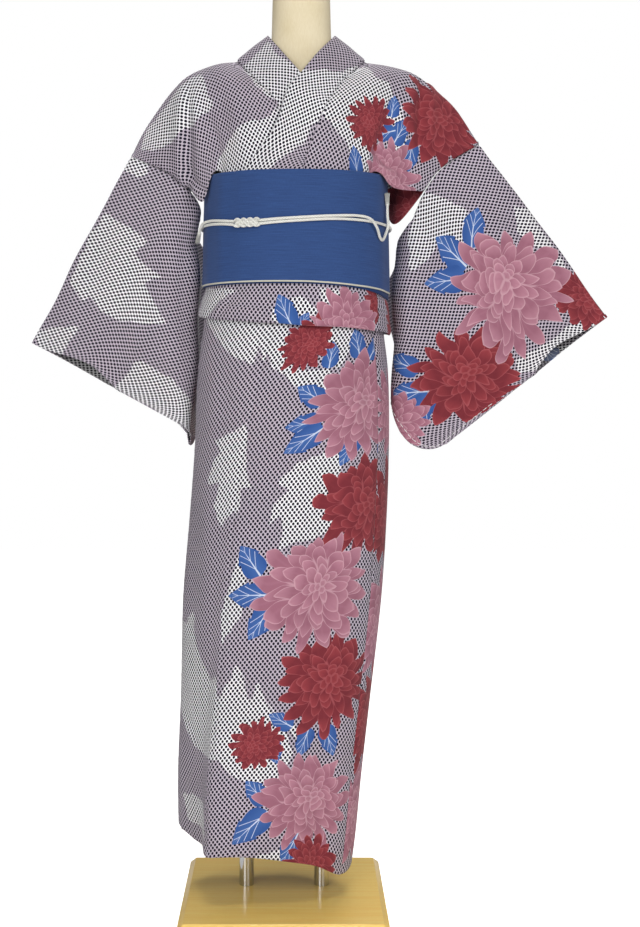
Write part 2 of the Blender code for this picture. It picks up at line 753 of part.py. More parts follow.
def tie_point(u, v):
    """Point of the flat folded tie at the back: u round its loop, v across its width."""
    centre = girdle(270, 1.0, SASH_OUT + SASH_STEP)
    x = centre.x + TIE_WIDTH * (v - 0.5)
    a = 2 * math.pi * u
    height = (TIE_TOP - TIE_FOOT) / 2
    flat = 2 / 5  # power that flattens the loop's two layers
    z = (TIE_TOP + TIE_FOOT) / 2 + height * math.copysign(abs(math.cos(a)) ** flat, math.cos(a))
    depth = TIE_HALF_DEPTH * math.copysign(abs(math.sin(a)) ** flat, math.sin(a))
    sag = TIE_SAG * (x - centre.x) ** 2
    lean = TIE_LEAN * ease((TIE_LEAN_TOP - z) / TIE_LEAN_RUN)
    return Vector((x, centre.y + WALL / 2 + TIE_GAP + depth + lean - sag, z))


# ---------------------------------------------------------------- turning surfaces into solids
def material(name, colour, roughness, metallic=0.0):
    """A Principled BSDF material."""
    made = bpy.data.materials.new(name)
    made.use_nodes = True
    shader = made.node_tree.nodes["Principled BSDF"]
    shader.inputs["Base Color"].default_value = (*colour, 1.0)
    shader.inputs["Roughness"].default_value = roughness
    shader.inputs["Metallic"].default_value = metallic
    return made


def add_object(name, mesh, finish, collection):
    """Put a mesh in the collection as a named object with its material."""
    mesh.materials.append(finish)
    made = bpy.data.objects.new(name, mesh)
    collection.objects.link(made)
    return made


def cloth(name, surface, columns, rows, finish, collection, ring=False, wall=WALL):
    """A cloth piece: a grid laid on a surface, closed into a tube if `ring`, with its wall."""
    shape = bmesh.new()
    bmesh.ops.create_grid(shape, x_segments=columns, y_segments=rows, size=0.5)
    for vert in shape.verts:
        vert.co = surface(vert.co.x + 0.5, vert.co.y + 0.5)
    if ring:
        bmesh.ops.remove_doubles(shape, verts=shape.verts, dist=0.00001)
    bmesh.ops.triangulate(shape, faces=shape.faces, quad_method="SHORT_EDGE")
    mesh = bpy.data.meshes.new(name)
    shape.to_mesh(mesh)
    shape.free()
    made = add_object(name, mesh, finish, collection)
    thicken = made.modifiers.new("wall", "SOLIDIFY")
    thicken.thickness = wall
    thicken.offset = 0.0
    made.data.shade_smooth()
    return made


def tube(name, points, radius, finish, collection):
    """A cord: a poly spline with a round section and filled ends."""
    curve = bpy.data.curves.new(name, "CURVE")
    curve.dimensions = "3D"
    curve.bevel_depth = radius
    curve.bevel_resolution = 2
    curve.use_fill_caps = True
    spline = curve.splines.new("POLY")
    spline.points.add(len(points) - 1)
    for place, point in zip(spline.points, points):
        place.co = (*point, 1.0)
    return add_object(name, curve, finish, collection)


def cord_route(stops, count):
    """Points of a cord's route, read from a smooth curve through its stops."""
    outside = SASH_OUT + SASH_STEP + WALL / 2 + CORD_TOUCH + CORD_DIAMETER / 2
    route = [through([Vector(stop) for stop in stops], i / (count - 1)) for i in range(count)]
    return [girdle(place.x, place.y, outside + max(place.z, 0.0)) for place in route]


def form_solid(name, finish, collection):
    """The dress form: rings lofted from its foot to its neck, with a cap at each end."""
    around = 24
    shape = bmesh.new()
    bmesh.ops.create_cone(
        shape, segments=around, radius1=1, radius2=1, depth=1, cap_ends=True, cap_tris=False
    )
    upright = [e for e in shape.edges if abs(e.verts[0].co.z - e.verts[1].co.z) > 0.5]
    bmesh.ops.subdivide_edges(shape, edges=upright, cuts=len(FORM_RINGS) - 2, use_grid_fill=True)
    for vert in shape.verts:
        row = FORM_RINGS[round((vert.co.z + 0.5) * (len(FORM_RINGS) - 1))]
        angle = math.degrees(math.atan2(-vert.co.y, vert.co.x))
        middle = (row.front + row.back) / 2
        x, y = section(row.left, row.right, row.front, row.back, middle, angle, 0.0)
        vert.co = (x, y, row.z)
    mesh = bpy.data.meshes.new(name)
    shape.to_mesh(mesh)
    shape.free()
    mesh.shade_smooth()
    return add_object(name, mesh, finish, collection)


def base_solid(name, finish, collection):
    """The wooden base: a square board with a moulded upper edge."""
    shape = bmesh.new()
    bmesh.ops.create_cube(shape, size=1)
    bmesh.ops.scale(shape, vec=(BASE_WIDTH, BASE_WIDTH, BASE_HEIGHT), verts=shape.verts)
    bmesh.ops.translate(shape, vec=(0, 0, BASE_HEIGHT / 2), verts=shape.verts)
    upper = [e for e in shape.edges if min(v.co.z for v in e.verts) > BASE_HEIGHT / 2]
    bmesh.ops.bevel(
        shape, geom=upper, offset=BASE_BEVEL, segments=3, profile=0.5, affect="EDGES", material=-1
    )
    mesh = bpy.data.meshes.new(name)
    shape.to_mesh(mesh)
    shape.free()
    return add_object(name, mesh, finish, collection)


def pole_solid(name, x, finish, collection):
    """One pole from the base to the form."""
    low, high = BASE_HEIGHT + TOUCH, FORM_FOOT - TOUCH
    shape = bmesh.new()
    bmesh.ops.create_cone(
        shape, segments=24, radius1=POLE_RADIUS, radius2=POLE_RADIUS, depth=high - low, cap_ends=True
    )
    mesh = bpy.data.meshes.new(name)
    shape.to_mesh(mesh)
    shape.free()
    mesh.shade_smooth()
    mesh.set_sharp_from_angle(angle=math.radians(40))
    made = add_object(name, mesh, finish, collection)
    made.location = (x, POLE_Y, (low + high) / 2)
    return made


def knot_solid(name, finish, collection):
    """The cord's knot: a rounded lump as long as its two interlaced loops."""
    lift = SASH_OUT + SASH_STEP + WALL / 2 + TOUCH + KNOT_SIZE[1] / 2
    centre = girdle(KNOT_ANGLE, KNOT_Z, lift)
    along = (girdle(KNOT_ANGLE - 1, KNOT_Z, lift) - girdle(KNOT_ANGLE + 1, KNOT_Z, lift)).normalized()
    outward = Vector((-along.y, along.x, 0))
    shape = bmesh.new()
    bmesh.ops.create_uvsphere(shape, u_segments=14, v_segments=8, radius=0.5)
    for vert in shape.verts:
        a, b, c = (math.copysign(abs(part * 2) ** 0.75, part) / 2 for part in vert.co)
        vert.co = centre + along * (a * KNOT_SIZE[0]) + outward * (b * KNOT_SIZE[1])
        vert.co.z += c * KNOT_SIZE[2]
    shape.normal_update()
    bmesh.ops.recalc_face_normals(shape, faces=shape.faces)
    mesh = bpy.data.meshes.new(name)
    shape.to_mesh(mesh)
    shape.free()
    mesh.shade_smooth()
    return add_object(name, mesh, finish, collection)


def tassel_solid(name, top, direction, finish, collection):
    """A tassel: a bound head whose lower face is drawn out into separate strands."""
    cells = 4
    head = TASSEL_LENGTH * 0.24
    shape = bmesh.new()
    bmesh.ops.create_grid(shape, x_segments=cells, y_segments=cells, size=0.5)
    lower = list(shape.faces)
    risen = bmesh.ops.extrude_face_region(shape, geom=lower)
    upper = [item for item in risen["geom"] if isinstance(item, bmesh.types.BMVert)]
    bmesh.ops.translate(shape, vec=(0, 0, 1), verts=upper)
    bmesh.ops.inset_individual(shape, faces=lower, thickness=0.035, use_even_offset=True)
    strands = bmesh.ops.extrude_discrete_faces(shape, faces=lower)["faces"]
    across = direction.orthogonal().normalized()
    beside = direction.cross(across)
    tips = set()
    for face in strands:
        middle = face.calc_center_median()
        spread = 1.25 - 0.1 * math.sin(7 * middle.x + 5 * middle.y)
        for vert in face.verts:
            vert.co = middle * spread + (vert.co - middle) * 0.8
            vert.co.z = -1 - 0.12 * abs(math.sin(9 * middle.x - 4 * middle.y))
            tips.add(vert)
    for vert in shape.verts:
        square = vert.co.xy
        reach = max(abs(square.x), abs(square.y)) * 2
        round_off = square.normalized() * reach if square.length > 0 else square
        if vert in tips:
            depth = head + (TASSEL_LENGTH - head) * -vert.co.z
        else:
            depth = head * (1 - vert.co.z)
        neck = 0.62 if vert.co.z > 0.5 else 1.0
        vert.co = (
            top
            + direction * depth
            + across * (round_off.x * TASSEL_RADIUS * neck)
            + beside * (round_off.y * TASSEL_RADIUS * neck)
        )
    shape.normal_update()
    bmesh.ops.recalc_face_normals(shape, faces=shape.faces)
    mesh = bpy.data.meshes.new(name)
    shape.to_mesh(mesh)
    shape.free()
    return add_object(name, mesh, finish, collection)


# ---------------------------------------------------------------- the robe, piece by piece
def build_stand(collection):
    """Base, poles and dress form."""
    wood = material("varnished wood", (0.62, 0.42, 0.16), 0.32)
    chrome = material("chromed steel", (0.75, 0.75, 0.76), 0.12, 1.0)
    skin = material("cream jersey", (0.86, 0.74, 0.48), 0.6)
    base_solid("stand_base", wood, collection)
    pole_solid("pole_left", POLE_SPREAD / 2, chrome, collection)
    pole_solid("pole_right", -POLE_SPREAD / 2, chrome, collection)
    form_solid("dress_form", skin, collection)


def build_upper(cotton, collection):
    """The body lengths above the sash, the sleeves and the collar."""
    cloth("body_left_upper", body_panel(1), 16, 24, cotton, collection)
    cloth("body_right_upper", body_panel(-1), 16, 24, cotton, collection)
    cloth("collar", collar_point, 32, 4, cotton, collection)
    for name, sleeve in (("sleeve_left", LEFT_SLEEVE), ("sleeve_right", RIGHT_SLEEVE)):
        cloth(
            name,
            lambda u, v, sleeve=sleeve: sleeve_point(sleeve, v, (2 * u - 1) * math.pi * sleeve.side),
            SLEEVE_STEPS,
            12,
            cotton,
            collection,
            ring=True,
        )


def build_skirt(cotton, collection):
    """The wrapped skirt panels, from the innermost okumi to the outermost, and the waist tuck."""
    apart = math.degrees(SEAM / 0.12) / 2

    def okumi_seam(z):
        """Angle of the front okumi seam."""
        return read(OKUMI_SEAM, z, "angle")

    def step(z):
        """Angle from that seam to the okumi's edge, wider where the okumi turns in behind it."""
        return apart + read(OKUMI_SEAM, z, "flare") * OKUMI_TUCK_IN

    inner_seam = WRAP_START + OKUMI_TURN
    panels = (
        ("okumi_right_skirt", lambda z: WRAP_START, lambda z: inner_seam - apart, 6),
        ("front_right_skirt", lambda z: inner_seam + apart, lambda z: RIGHT_SIDE_SEAM - apart, 10),
        ("back_right_skirt", lambda z: RIGHT_SIDE_SEAM + apart, lambda z: BACK_SEAM - apart, 12),
        ("back_left_skirt", lambda z: BACK_SEAM + apart, lambda z: LEFT_SIDE_SEAM - apart, 12),
        ("front_left_skirt", lambda z: LEFT_SIDE_SEAM + apart, lambda z: okumi_seam(z) - apart, 10),
        ("okumi_left_skirt", lambda z: okumi_seam(z) + step(z), lambda z: okumi_seam(z) + OKUMI_TURN, 8),
    )
    for name, start, end, columns in panels:
        cloth(name, skirt_panel(start, end), columns, 13, cotton, collection)
    cloth("tuck_front", tuck_panel(31.0, 188.0), 14, 8, cotton, collection)
    cloth("tuck_back", tuck_panel(188.0 + 2 * apart, 391.0 - 2 * apart), 18, 8, cotton, collection)


def build_sash(collection):
    """The sash's two turns, its flat tie, and the cord with its knot and tassels."""
    blue = material("slub weave sash", (0.03, 0.08, 0.26), 0.75)
    braid = material("braided cord", (0.88, 0.87, 0.80), 0.7)
    cloth("sash_inner_wrap", sash_wrap(SASH_OUT, True), 36, 2, blue, collection)
    cloth("sash_outer_wrap", sash_wrap(SASH_OUT + SASH_STEP, False), 36, 2, blue, collection)
    cloth("sash_tie", tie_point, 20, 6, blue, collection, ring=True)
    radius = CORD_DIAMETER / 2
    tube("cord_loop", cord_route(CORD_LOOP, 64), radius, braid, collection)
    ends = (("left", CORD_LEFT_END, 34), ("right", CORD_RIGHT_END, 14))
    for side, stops, count in ends:
        points = cord_route(stops, count)
        tube(f"cord_end_{side}", points, radius, braid, collection)
        direction = (points[-1] - points[-2]).normalized()
        tassel_solid(f"tassel_{side}", points[-1] + direction * TOUCH, direction, braid, collection)
    knot_solid("cord_knot", braid, collection)


def main():
    """Clear the scene and build the robe."""
    for old in list(bpy.data.objects):
        bpy.data.objects.remove(old, do_unlink=True)
    collection = bpy.data.collections.new("yukata_on_dress_form")
    bpy.context.scene.collection.children.link(collection)
    cotton = material("printed cotton", (0.46, 0.40, 0.45), 0.85)
    build_stand(collection)
    build_upper(cotton, collection)
    build_skirt(cotton, collection)
    build_sash(collection)


main()
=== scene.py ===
"""Scene of a cotton yukata robe with its sash and cord, worn by a limbless dress form.

Metres, +Z up.  X runs to the wearer's left and the front faces -Y.  Left and right in names are
the wearer's.  The cloth pieces are thin shells on the same surfaces as the solids they stand for,
with soft creases, turned seam edges and a printed cotton worked out in each piece's own grain.
"""

from __future__ import annotations

import itertools
import logging
import math
from dataclasses import dataclass, field
from enum import Enum
from functools import partialmethod
from typing import Callable, ClassVar, NamedTuple, Sequence

import bmesh
import bpy
import numpy as np
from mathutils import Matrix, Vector

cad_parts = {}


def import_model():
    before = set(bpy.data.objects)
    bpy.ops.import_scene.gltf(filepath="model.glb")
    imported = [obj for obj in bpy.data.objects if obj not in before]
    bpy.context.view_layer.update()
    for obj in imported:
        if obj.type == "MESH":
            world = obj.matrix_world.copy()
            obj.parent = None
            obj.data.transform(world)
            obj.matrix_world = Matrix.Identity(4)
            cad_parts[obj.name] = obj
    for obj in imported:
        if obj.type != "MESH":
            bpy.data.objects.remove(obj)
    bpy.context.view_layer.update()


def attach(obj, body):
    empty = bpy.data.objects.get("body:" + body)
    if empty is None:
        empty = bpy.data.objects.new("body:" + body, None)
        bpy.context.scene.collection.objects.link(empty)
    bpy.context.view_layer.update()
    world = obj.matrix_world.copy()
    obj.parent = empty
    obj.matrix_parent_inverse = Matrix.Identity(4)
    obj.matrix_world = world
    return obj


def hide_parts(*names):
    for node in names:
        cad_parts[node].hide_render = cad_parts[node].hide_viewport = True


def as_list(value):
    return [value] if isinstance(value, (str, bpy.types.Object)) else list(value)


LOG = logging.getLogger("yukata")
Array = np.ndarray
Surface = Callable[[Array, Array], Array]
Tree = bpy.types.NodeTree
Material = bpy.types.Material
Shape = bmesh.types.BMesh

# ---------------------------------------------------------------- sizes shared with the solids
WALL = 0.0016
SEAM = 0.0004
LAYER = 0.0032
SLEEVE_SEAM = 0.0011
UNDERLAP = 0.004
BASE_WIDTH = 0.3
BASE_HEIGHT = 0.025
POLE_RADIUS = 0.011
POLE_SPREAD = 0.113
POLE_Y = 0.02
FORM_FOOT = 0.79
TOUCH = 0.0003
CORD_TOUCH = 0.0006
SASH_TOP = 1.085
SASH_OUT = 0.0134
SASH_STEP = 0.0021
SASH_GAP = 0.6
SASH_UNDER_DROP = 0.002
SASH_LEAN = 0.0065
SASH_LEAN_ANGLE = 10.0
SASH_LEAN_SPREAD = 26.0
PANEL_OUT = 0.0102
UNDER_PANEL_OUT = 0.0074
TIE_WIDTH = 0.165
TIE_TOP = 1.128
TIE_FOOT = 0.872
TIE_HALF_DEPTH = 0.0038
TIE_GAP = 0.0056
TIE_SAG = 2.2
TIE_LEAN = 0.009
TIE_LEAN_TOP = 0.955
TIE_LEAN_RUN = 0.05
CORD_DIAMETER = 0.004
LAP = 0.0036
SKIRT_TOP = 0.935
SKIRT_MIDDLE = 0.3
WRAP_START = -34.0
LEFT_SIDE_SEAM = 391.0
RIGHT_SIDE_SEAM = 145.0
BACK_SEAM = 270.0
OKUMI_TURN = 68.0
RING_POWER = 2.2
FOLD_FADE = 0.38
RECESS_ANGLE = 150.0
RECESS_SPREAD = 20.0
FLARE_SPREAD = 30.0
FLARE_RETURN = 10.0
OKUMI_TUCK_IN = 16.0
TUCK_TOP = 0.95
COLLAR_BACK = 8
LEFT_NECK_SIDE = 6
RIGHT_NECK_SIDE = 10
NECK_SHARE = 4 / 12
NEAR_EDGE = 0.07
STEP_ALONG = 0.01
COLLAR_BODY_CENTRE = np.array((0.026, 0.0, 1.1))
ARCH_TOP = np.array((0.25, 0.75, 0.12))
ARCH_FOOT = np.array((0.05, 0.0, 0.45))
SLEEVE_DROP = 0.351
CUFF_OPENING = 0.143
SLEEVE_CORNER = 0.045
CORNER_SHARE = 8 / 12
SLEEVE_SWELL = 0.018
CUFF_SWELL = 0.013
CUFF_DROOP = 0.016
SLEEVE_STEPS = 32
ARMHOLE_STEPS = 6
TURN_RADIUS = 0.005
TURN_STRAIGHT = 0.03
TAIL_RADIUS = 0.14
KNOT_ANGLE = 119.5
KNOT_Z = 1.009
TASSEL_LENGTH = 0.02
TASSEL_RADIUS = 0.0034


def table(kind: Callable, *rows: tuple) -> tuple:
    """Rows of a table, each made from its plain values."""
    return tuple(kind(*row) for row in rows)


class Ring(NamedTuple):
    """Horizontal section of the girdle surface that all lower pieces are offset from."""

    z: float
    right: float
    left: float
    front: float
    back: float
    middle: float


RINGS = table(
    Ring, (0.04, -0.1485, 0.094, -0.079, 0.086, 0.012), (0.105, -0.1509, 0.1027, -0.082, 0.09, 0.012),
    (0.2, -0.1517, 0.1119, -0.088, 0.095, 0.01), (0.3, -0.1487, 0.1232, -0.094, 0.101, 0.008),
    (0.455, -0.1452, 0.1404, -0.101, 0.109, 0.006), (0.57, -0.1359, 0.1479, -0.105, 0.114, 0.004),
    (0.69, -0.1268, 0.1515, -0.106, 0.117, 0.004), (0.8, -0.122, 0.15, -0.104, 0.114, 0.003),
    (0.87, -0.1146, 0.143, -0.0975, 0.0925, 0.001), (0.925, -0.1067, 0.1418, -0.0967, 0.0887, 0),
    (1, -0.1045, 0.1403, -0.0967, 0.0877, 0), (1.1, -0.1015, 0.1383, -0.0967, 0.0877, 0),
)


class FormRing(NamedTuple):
    """Horizontal section of the dress form."""

    z: float
    right: float
    left: float
    front: float
    back: float


FORM_RINGS = table(
    FormRing, (0.79, -0.104, 0.132, -0.086, 0.094), (0.81, -0.11, 0.138, -0.09, 0.098),
    (0.86, -0.107, 0.139, -0.092, 0.088), (0.925, -0.1046, 0.1396, -0.0946, 0.0866),
    (0.95, -0.1034, 0.139, -0.0946, 0.0856), (1, -0.1055, 0.1425, -0.097, 0.09),
    (1.055, -0.1045, 0.1425, -0.093, 0.0905), (1.1, -0.102, 0.1415, -0.089, 0.087),
    (1.14, -0.1015, 0.143, -0.08, 0.082), (1.18, -0.103, 0.147, -0.066, 0.074),
    (1.21, -0.108, 0.156, -0.05, 0.062), (1.228, -0.108, 0.16, -0.04, 0.052),
    (1.237, -0.094, 0.144, -0.034, 0.046), (1.244, -0.066, 0.114, -0.03, 0.044),
    (1.254, -0.035, 0.086, -0.029, 0.042), (1.272, -0.021, 0.073, -0.029, 0.04),
    (1.3, -0.0185, 0.0705, -0.032, 0.04), (1.335, -0.0175, 0.0695, -0.039, 0.0415),
    (1.372, -0.0165, 0.0685, -0.0405, 0.0415), (1.38, -0.012, 0.064, -0.037, 0.038),
)


class Height(NamedTuple):
    """A height, or another size, that goes with an angle round the body."""

    angle: float
    z: float


HEM = table(  # hem of the wrapped skirt, from its innermost edge to its outermost
    Height,
    (-34, 0.165), (35, 0.15), (145, 0.122), (180, 0.11), (230, 0.092), (300, 0.082),
    (360, 0.07), (391, 0.061), (417, 0.082), (437, 0.094), (460, 0.1035), (480, 0.105),
    (497, 0.102), (520, 0.1055), (545, 0.118), (580, 0.13),
)
TUCK_FOLD = table(  # bottom fold of the waist tuck
    Height,
    (0, 0.853), (50, 0.86), (90, 0.865), (140, 0.874), (190, 0.881), (270, 0.872),
    (360, 0.853), (400, 0.855),
)
SASH_FOOT = table(  # lower edge of the sash's outer wrap
    Height,
    (-90, 0.92), (0, 0.913), (45, 0.92), (90, 0.926), (180, 0.924), (270, 0.92),
)


class TuckStep(NamedTuple):
    """One step of the waist tuck's profile: height above a line, and distance from the girdle."""

    line: str  # "top", "sash" (foot of the sash) or "fold" (bottom fold of the tuck)
    above: float
    out: float


TUCK_PROFILE = table(
    TuckStep, ("top", 0, PANEL_OUT), ("sash", -0.005, PANEL_OUT + 0.0002),
    ("sash", -0.015, PANEL_OUT + 0.0026), ("fold", 0.016, 0.0146), ("fold", 0.005, 0.015),
    ("fold", 0, 0.0126), ("fold", 0.005, 0.0102), ("fold", 0.018, 0.0094), ("top", -0.045, 0.0088),
)


class SeamRow(NamedTuple):
    """Where the front okumi seam runs, and how the cloth folds there, at one height."""

    z: float
    angle: float
    flare: float  # how far the front panel's edge stands forward
    recess: float  # how far the cloth behind that edge falls in


OKUMI_SEAM = table(
    SeamRow, (0.06, 497.5, 0.037, 0.021), (0.127, 493.5, 0.033, 0.019), (0.257, 487.5, 0.019, 0.012),
    (0.42, 481.5, 0.009, 0.006), (0.632, 479, 0.003, 0.002), (0.736, 472, 0.001, 0),
    (0.85, 462, 0, 0), (0.95, 456, 0, 0),
)


class SkirtFold(NamedTuple):
    """A long soft fold of the skirt, from the hem up to `high`; a negative depth is a trough."""

    angle: float
    spread: float
    depth: float
    high: float


SKIRT_FOLDS = table(
    SkirtFold, (58, 9, -0.003, 0.55), (84, 12, 0.0025, 0.62), (168, 9, -0.004, 0.46),
    (190, 10, 0.004, 0.52), (212, 10, -0.006, 0.62), (236, 11, 0.006, 0.58),
    (262, 11, -0.007, 0.66), (288, 12, 0.006, 0.6), (312, 10, -0.0055, 0.64),
    (334, 9, 0.0045, 0.5),
)


class CollarRow(NamedTuple):
    """One station of the collar band: its neck edge, then the edge sewn to the body."""

    name: str
    neck: tuple
    sewn: tuple
    crown: float  # how far the band's middle stands forward of a straight line between its edges


COLLAR_ROWS = table(
    CollarRow, ("left front, under the sash", (-0.0615, -0.0884, 1.056), (0.022, -0.1076, 1.052), 0.0053),
    ("left front, at the sash", (-0.0505, -0.0937, 1.093), (0.0277, -0.1074, 1.0885), 0.0048),
    ("left front, over the bust", (-0.0123, -0.093, 1.1495), (0.0345, -0.104, 1.115), 0.0024),
    ("left front, at the crossing", (0.006, -0.08, 1.205), (0.056, -0.093, 1.172), 0.0008),
    ("left chest", (0.0245, -0.064, 1.2316), (0.068, -0.079, 1.196), 0),
    ("left neck, front", (0.051, -0.0385, 1.268), (0.09, -0.048, 1.229), 0),
    ("left neck, side", (0.0765, 0.005, 1.3015), (0.1215, 0.012, 1.2675), 0),
    ("left neck, back", (0.064, 0.049, 1.3), (0.086, 0.064, 1.26), 0),
    ("centre back", (0.0265, 0.064, 1.296), (0.0265, 0.086, 1.25), 0),
    ("right neck, back", (-0.011, 0.049, 1.3), (-0.033, 0.064, 1.26), 0),
    ("right neck, side", (-0.024, 0.005, 1.3015), (-0.07, 0.012, 1.2685), 0),
    ("right neck, front", (-0.0005, -0.037, 1.266), (-0.043, -0.044, 1.23), 0),
    ("right chest", (0.0237, -0.059, 1.234), (-0.015, -0.072, 1.196), 0),
    ("right front, under the crossing", (0.043, -0.074, 1.2), (0, -0.085, 1.155), 0),
    ("right front, over the bust", (0.06, -0.086, 1.15), (0.01, -0.095, 1.108), 0.001),
    ("right front, at the sash", (0.072, -0.09, 1.105), (0.014, -0.0985, 1.07), 0.003),
    ("right front, under the sash", (0.08, -0.0915, 1.066), (0.018, -0.1005, 1.043), 0.0036),
)


class Foot(NamedTuple):
    """Lower end of a body panel's line, at the sash."""

    turn: float  # angle away from the side of the body
    z: float
    outward: float  # extra distance from the body


class Station(NamedTuple):
    """A front-to-back line of a body panel: its place on the shoulder and its two feet."""

    ridge_x: float
    ridge_z: float
    front: Foot
    back: Foot


LEFT_STATIONS = table(
    Station, (0.15, 1.2565, Foot(62, 1.058, 0), Foot(62, 1.058, 0)),
    (0.179, 1.249, Foot(44, 1.06, 0), Foot(44, 1.06, 0)),
    (0.196, 1.242, Foot(34, 1.0862, 0), Foot(34, 1.0862, 0)),
    (0.213, 1.2305, Foot(28, 1.0862, 0.0078), Foot(26, 1.09, 0.008)),
    (0.233, 1.214, Foot(20, 1.07, 0.0165), Foot(18, 1.036, 0.015)),
    (0.258, 1.188, Foot(12, 1.066, 0.029), Foot(8, 1.0235, 0.024)),
)
RIGHT_STATIONS = table(
    Station, (-0.098, 1.259, Foot(62, 1.058, 0), Foot(62, 1.058, 0)),
    (-0.126, 1.249, Foot(44, 1.06, 0), Foot(44, 1.06, 0)),
    (-0.146, 1.237, Foot(34, 1.0862, 0), Foot(34, 1.0862, 0)),
    (-0.164, 1.22, Foot(28, 1.0862, 0.0106), Foot(27, 1.089, 0.002)),
    (-0.183, 1.197, Foot(20, 1.047, 0.017), Foot(21, 1.09, 0.008)),
    (-0.207, 1.16, Foot(9, 1.07, 0.031), Foot(17, 1.09, 0.014)),
)


class Level(NamedTuple):
    """The sideways place of a sleeve's inner part at one height, and half its thickness there."""

    z: float
    x: float
    half: float


class EdgeRow(NamedTuple):
    """How far a sleeve's body edge lies along the arm line, at one distance down from its fold."""

    down: float
    along: float


class Sleeve(NamedTuple):
    """One sleeve: a flat tube of cloth held out from the shoulder, its inner part turned back."""

    side: int
    seam_top: tuple  # x and z of the shoulder end of its fold
    arm: tuple  # x and z of one metre along the fold
    fall: tuple  # x and z of one metre down the cuff side
    width: float
    levels: tuple
    body_edge: tuple


LEFT_SLEEVE = Sleeve(
    side=1,
    seam_top=(0.2917, 1.1375),
    arm=(0.597, -0.802),
    fall=(-0.787, -0.617),
    width=0.3207,
    levels=table(
        Level, (0.64, 0.1575, 0.004), (0.7, 0.1582, 0.005), (0.75, 0.1578, 0.009), (0.8, 0.1585, 0.014),
        (0.85, 0.1605, 0.018), (0.92, 0.16, 0.018), (0.98, 0.1635, 0.017), (1.05, 0.166, 0.012),
        (1.15, 0.18, 0.006),
    ),
    body_edge=table(
        EdgeRow, (0, 0), (0.068, -0.006), (0.107, 0.005), (0.156, 0.028), (0.23, 0.022), (0.351, 0),
    ),
)
RIGHT_SLEEVE = Sleeve(
    side=-1,
    seam_top=(-0.2288, 1.1196),
    arm=(-0.466, -0.885),
    fall=(0.876, -0.483),
    width=0.3146,
    levels=table(
        Level, (0.64, -0.137, 0.007), (0.7, -0.1352, 0.008), (0.75, -0.1328, 0.011), (0.8, -0.1312, 0.014),
        (0.87, -0.13, 0.018), (0.93, -0.1275, 0.018), (1, -0.1272, 0.017), (1.05, -0.1222, 0.01),
        (1.15, -0.144, 0.006),
    ),
    body_edge=table(
        EdgeRow, (0, 0), (0.068, -0.004), (0.107, 0.004), (0.156, 0.02), (0.23, 0.016), (0.351, 0),
    ),
)


class CordStop(NamedTuple):
    """A point of the cord's route on the sash: angle round the body, height, and lift off it."""

    angle: float
    z: float
    lift: float


CORD_LOOP = table(  # from the knot round the wearer's left side and the back to the knot again
    CordStop,
    (111, 1.008, 0), (95, 1.011, 0), (70, 1.015, 0), (48, 1.015, 0),
    (25, 1.0125, 0), (0, 1.01, 0), (-20, 1.009, 0), (-36, 1.008, 0.004),
    (-47, 1.007, 0.011), (-56, 1.0065, 0.0145), (-72, 1.0055, 0.0125), (-90, 1.005, 0.0108),
    (-108, 1.0055, 0.0125), (-124, 1.0065, 0.0145), (-133, 1.007, 0.011), (-144, 1.008, 0.004),
    (-160, 1.009, 0), (-180, 1.011, 0), (-205, 1.012, 0), (-222, 1.0105, 0),
    (-232, 1.008, 0),
)
CORD_LEFT_END = table(  # laid over the loop, turned down at the side, then up behind it
    CordStop,
    (111.5, 1.0127, 0), (95, 1.0154, 0), (70, 1.0194, 0), (52, 1.021, 0),
    (43, 1.0175, 0.004), (37, 1.006, 0.0045), (32, 0.993, 0.0015), (27.5, 0.9895, 0),
    (24.5, 0.996, 0.0012), (23, 1.011, 0.005), (21.5, 1.026, 0.003), (20.5, 1.04, 0.0022),
)
CORD_RIGHT_END = table(  # laid over the loop to the side, where it falls
    CordStop,
    (127.5, 1.0127, 0), (140, 1.0154, 0), (152, 1.017, 0.0005), (159, 1.015, 0.004),
    (164, 1.009, 0.0048), (166, 1.004, 0.005),
)


# ---------------------------------------------------------------- reading the tables
def read(rows: Sequence[NamedTuple], value: Array | float, column: str) -> Array:
    """Values of a table's column on a smooth curve through its rows.

    Args:
        rows: the table, in rising order of its first column.
        value: where to read it, in units of its first column.
        column: the name of the column.

    Returns:
        One number for each value.
    """
    keys = np.array([row[0] for row in rows], dtype=float)
    values = np.array([getattr(row, column) for row in rows], dtype=float)
    value = np.clip(value, keys[0], keys[-1])
    at = np.clip(np.searchsorted(keys, value, side="right") - 1, 0, len(rows) - 2)
    low = np.maximum(np.arange(len(rows)) - 1, 0)
    high = np.minimum(np.arange(len(rows)) + 1, len(rows) - 1)
    slope = (values[high] - values[low]) / (keys[high] - keys[low])
    span = keys[at + 1] - keys[at]
    t = (value - keys[at]) / span
    return (
        values[at] * (2 * t**3 - 3 * t**2 + 1)
        + slope[at] * span * (t**3 - 2 * t**2 + t)
        + values[at + 1] * (3 * t**2 - 2 * t**3)
        + slope[at + 1] * span * (t**3 - t**2)
    )


def through(points: Array, t: Array) -> Array:
    """Points at t, from 0 to 1, on a smooth curve through evenly counted points.

    Args:
        points: one point a row, or one row of points for each of several curves.
        t: where to read, one value for each point wanted.

    Returns:
        The points read.
    """
    points = np.asarray(points, dtype=float)
    last = len(points) - 1
    place = np.clip(t, 0.0, 1.0) * last
    at = np.minimum(place.astype(int), last - 1)
    f = (place - at)[..., None]

    def pick(index: Array) -> Array:
        """The rows at these indices, held inside the table."""
        index = np.clip(index, 0, last)
        return points[index] if points.ndim == 2 else points[index, np.arange(points.shape[1])]

    a, b, c, d = pick(at - 1), pick(at), pick(at + 1), pick(at + 2)
    curve = b * 2 + (c - a) * f + (a * 2 - b * 5 + c * 4 - d) * f**2
    return (curve + (b * 3 - a - c * 3 + d) * f**3) * 0.5


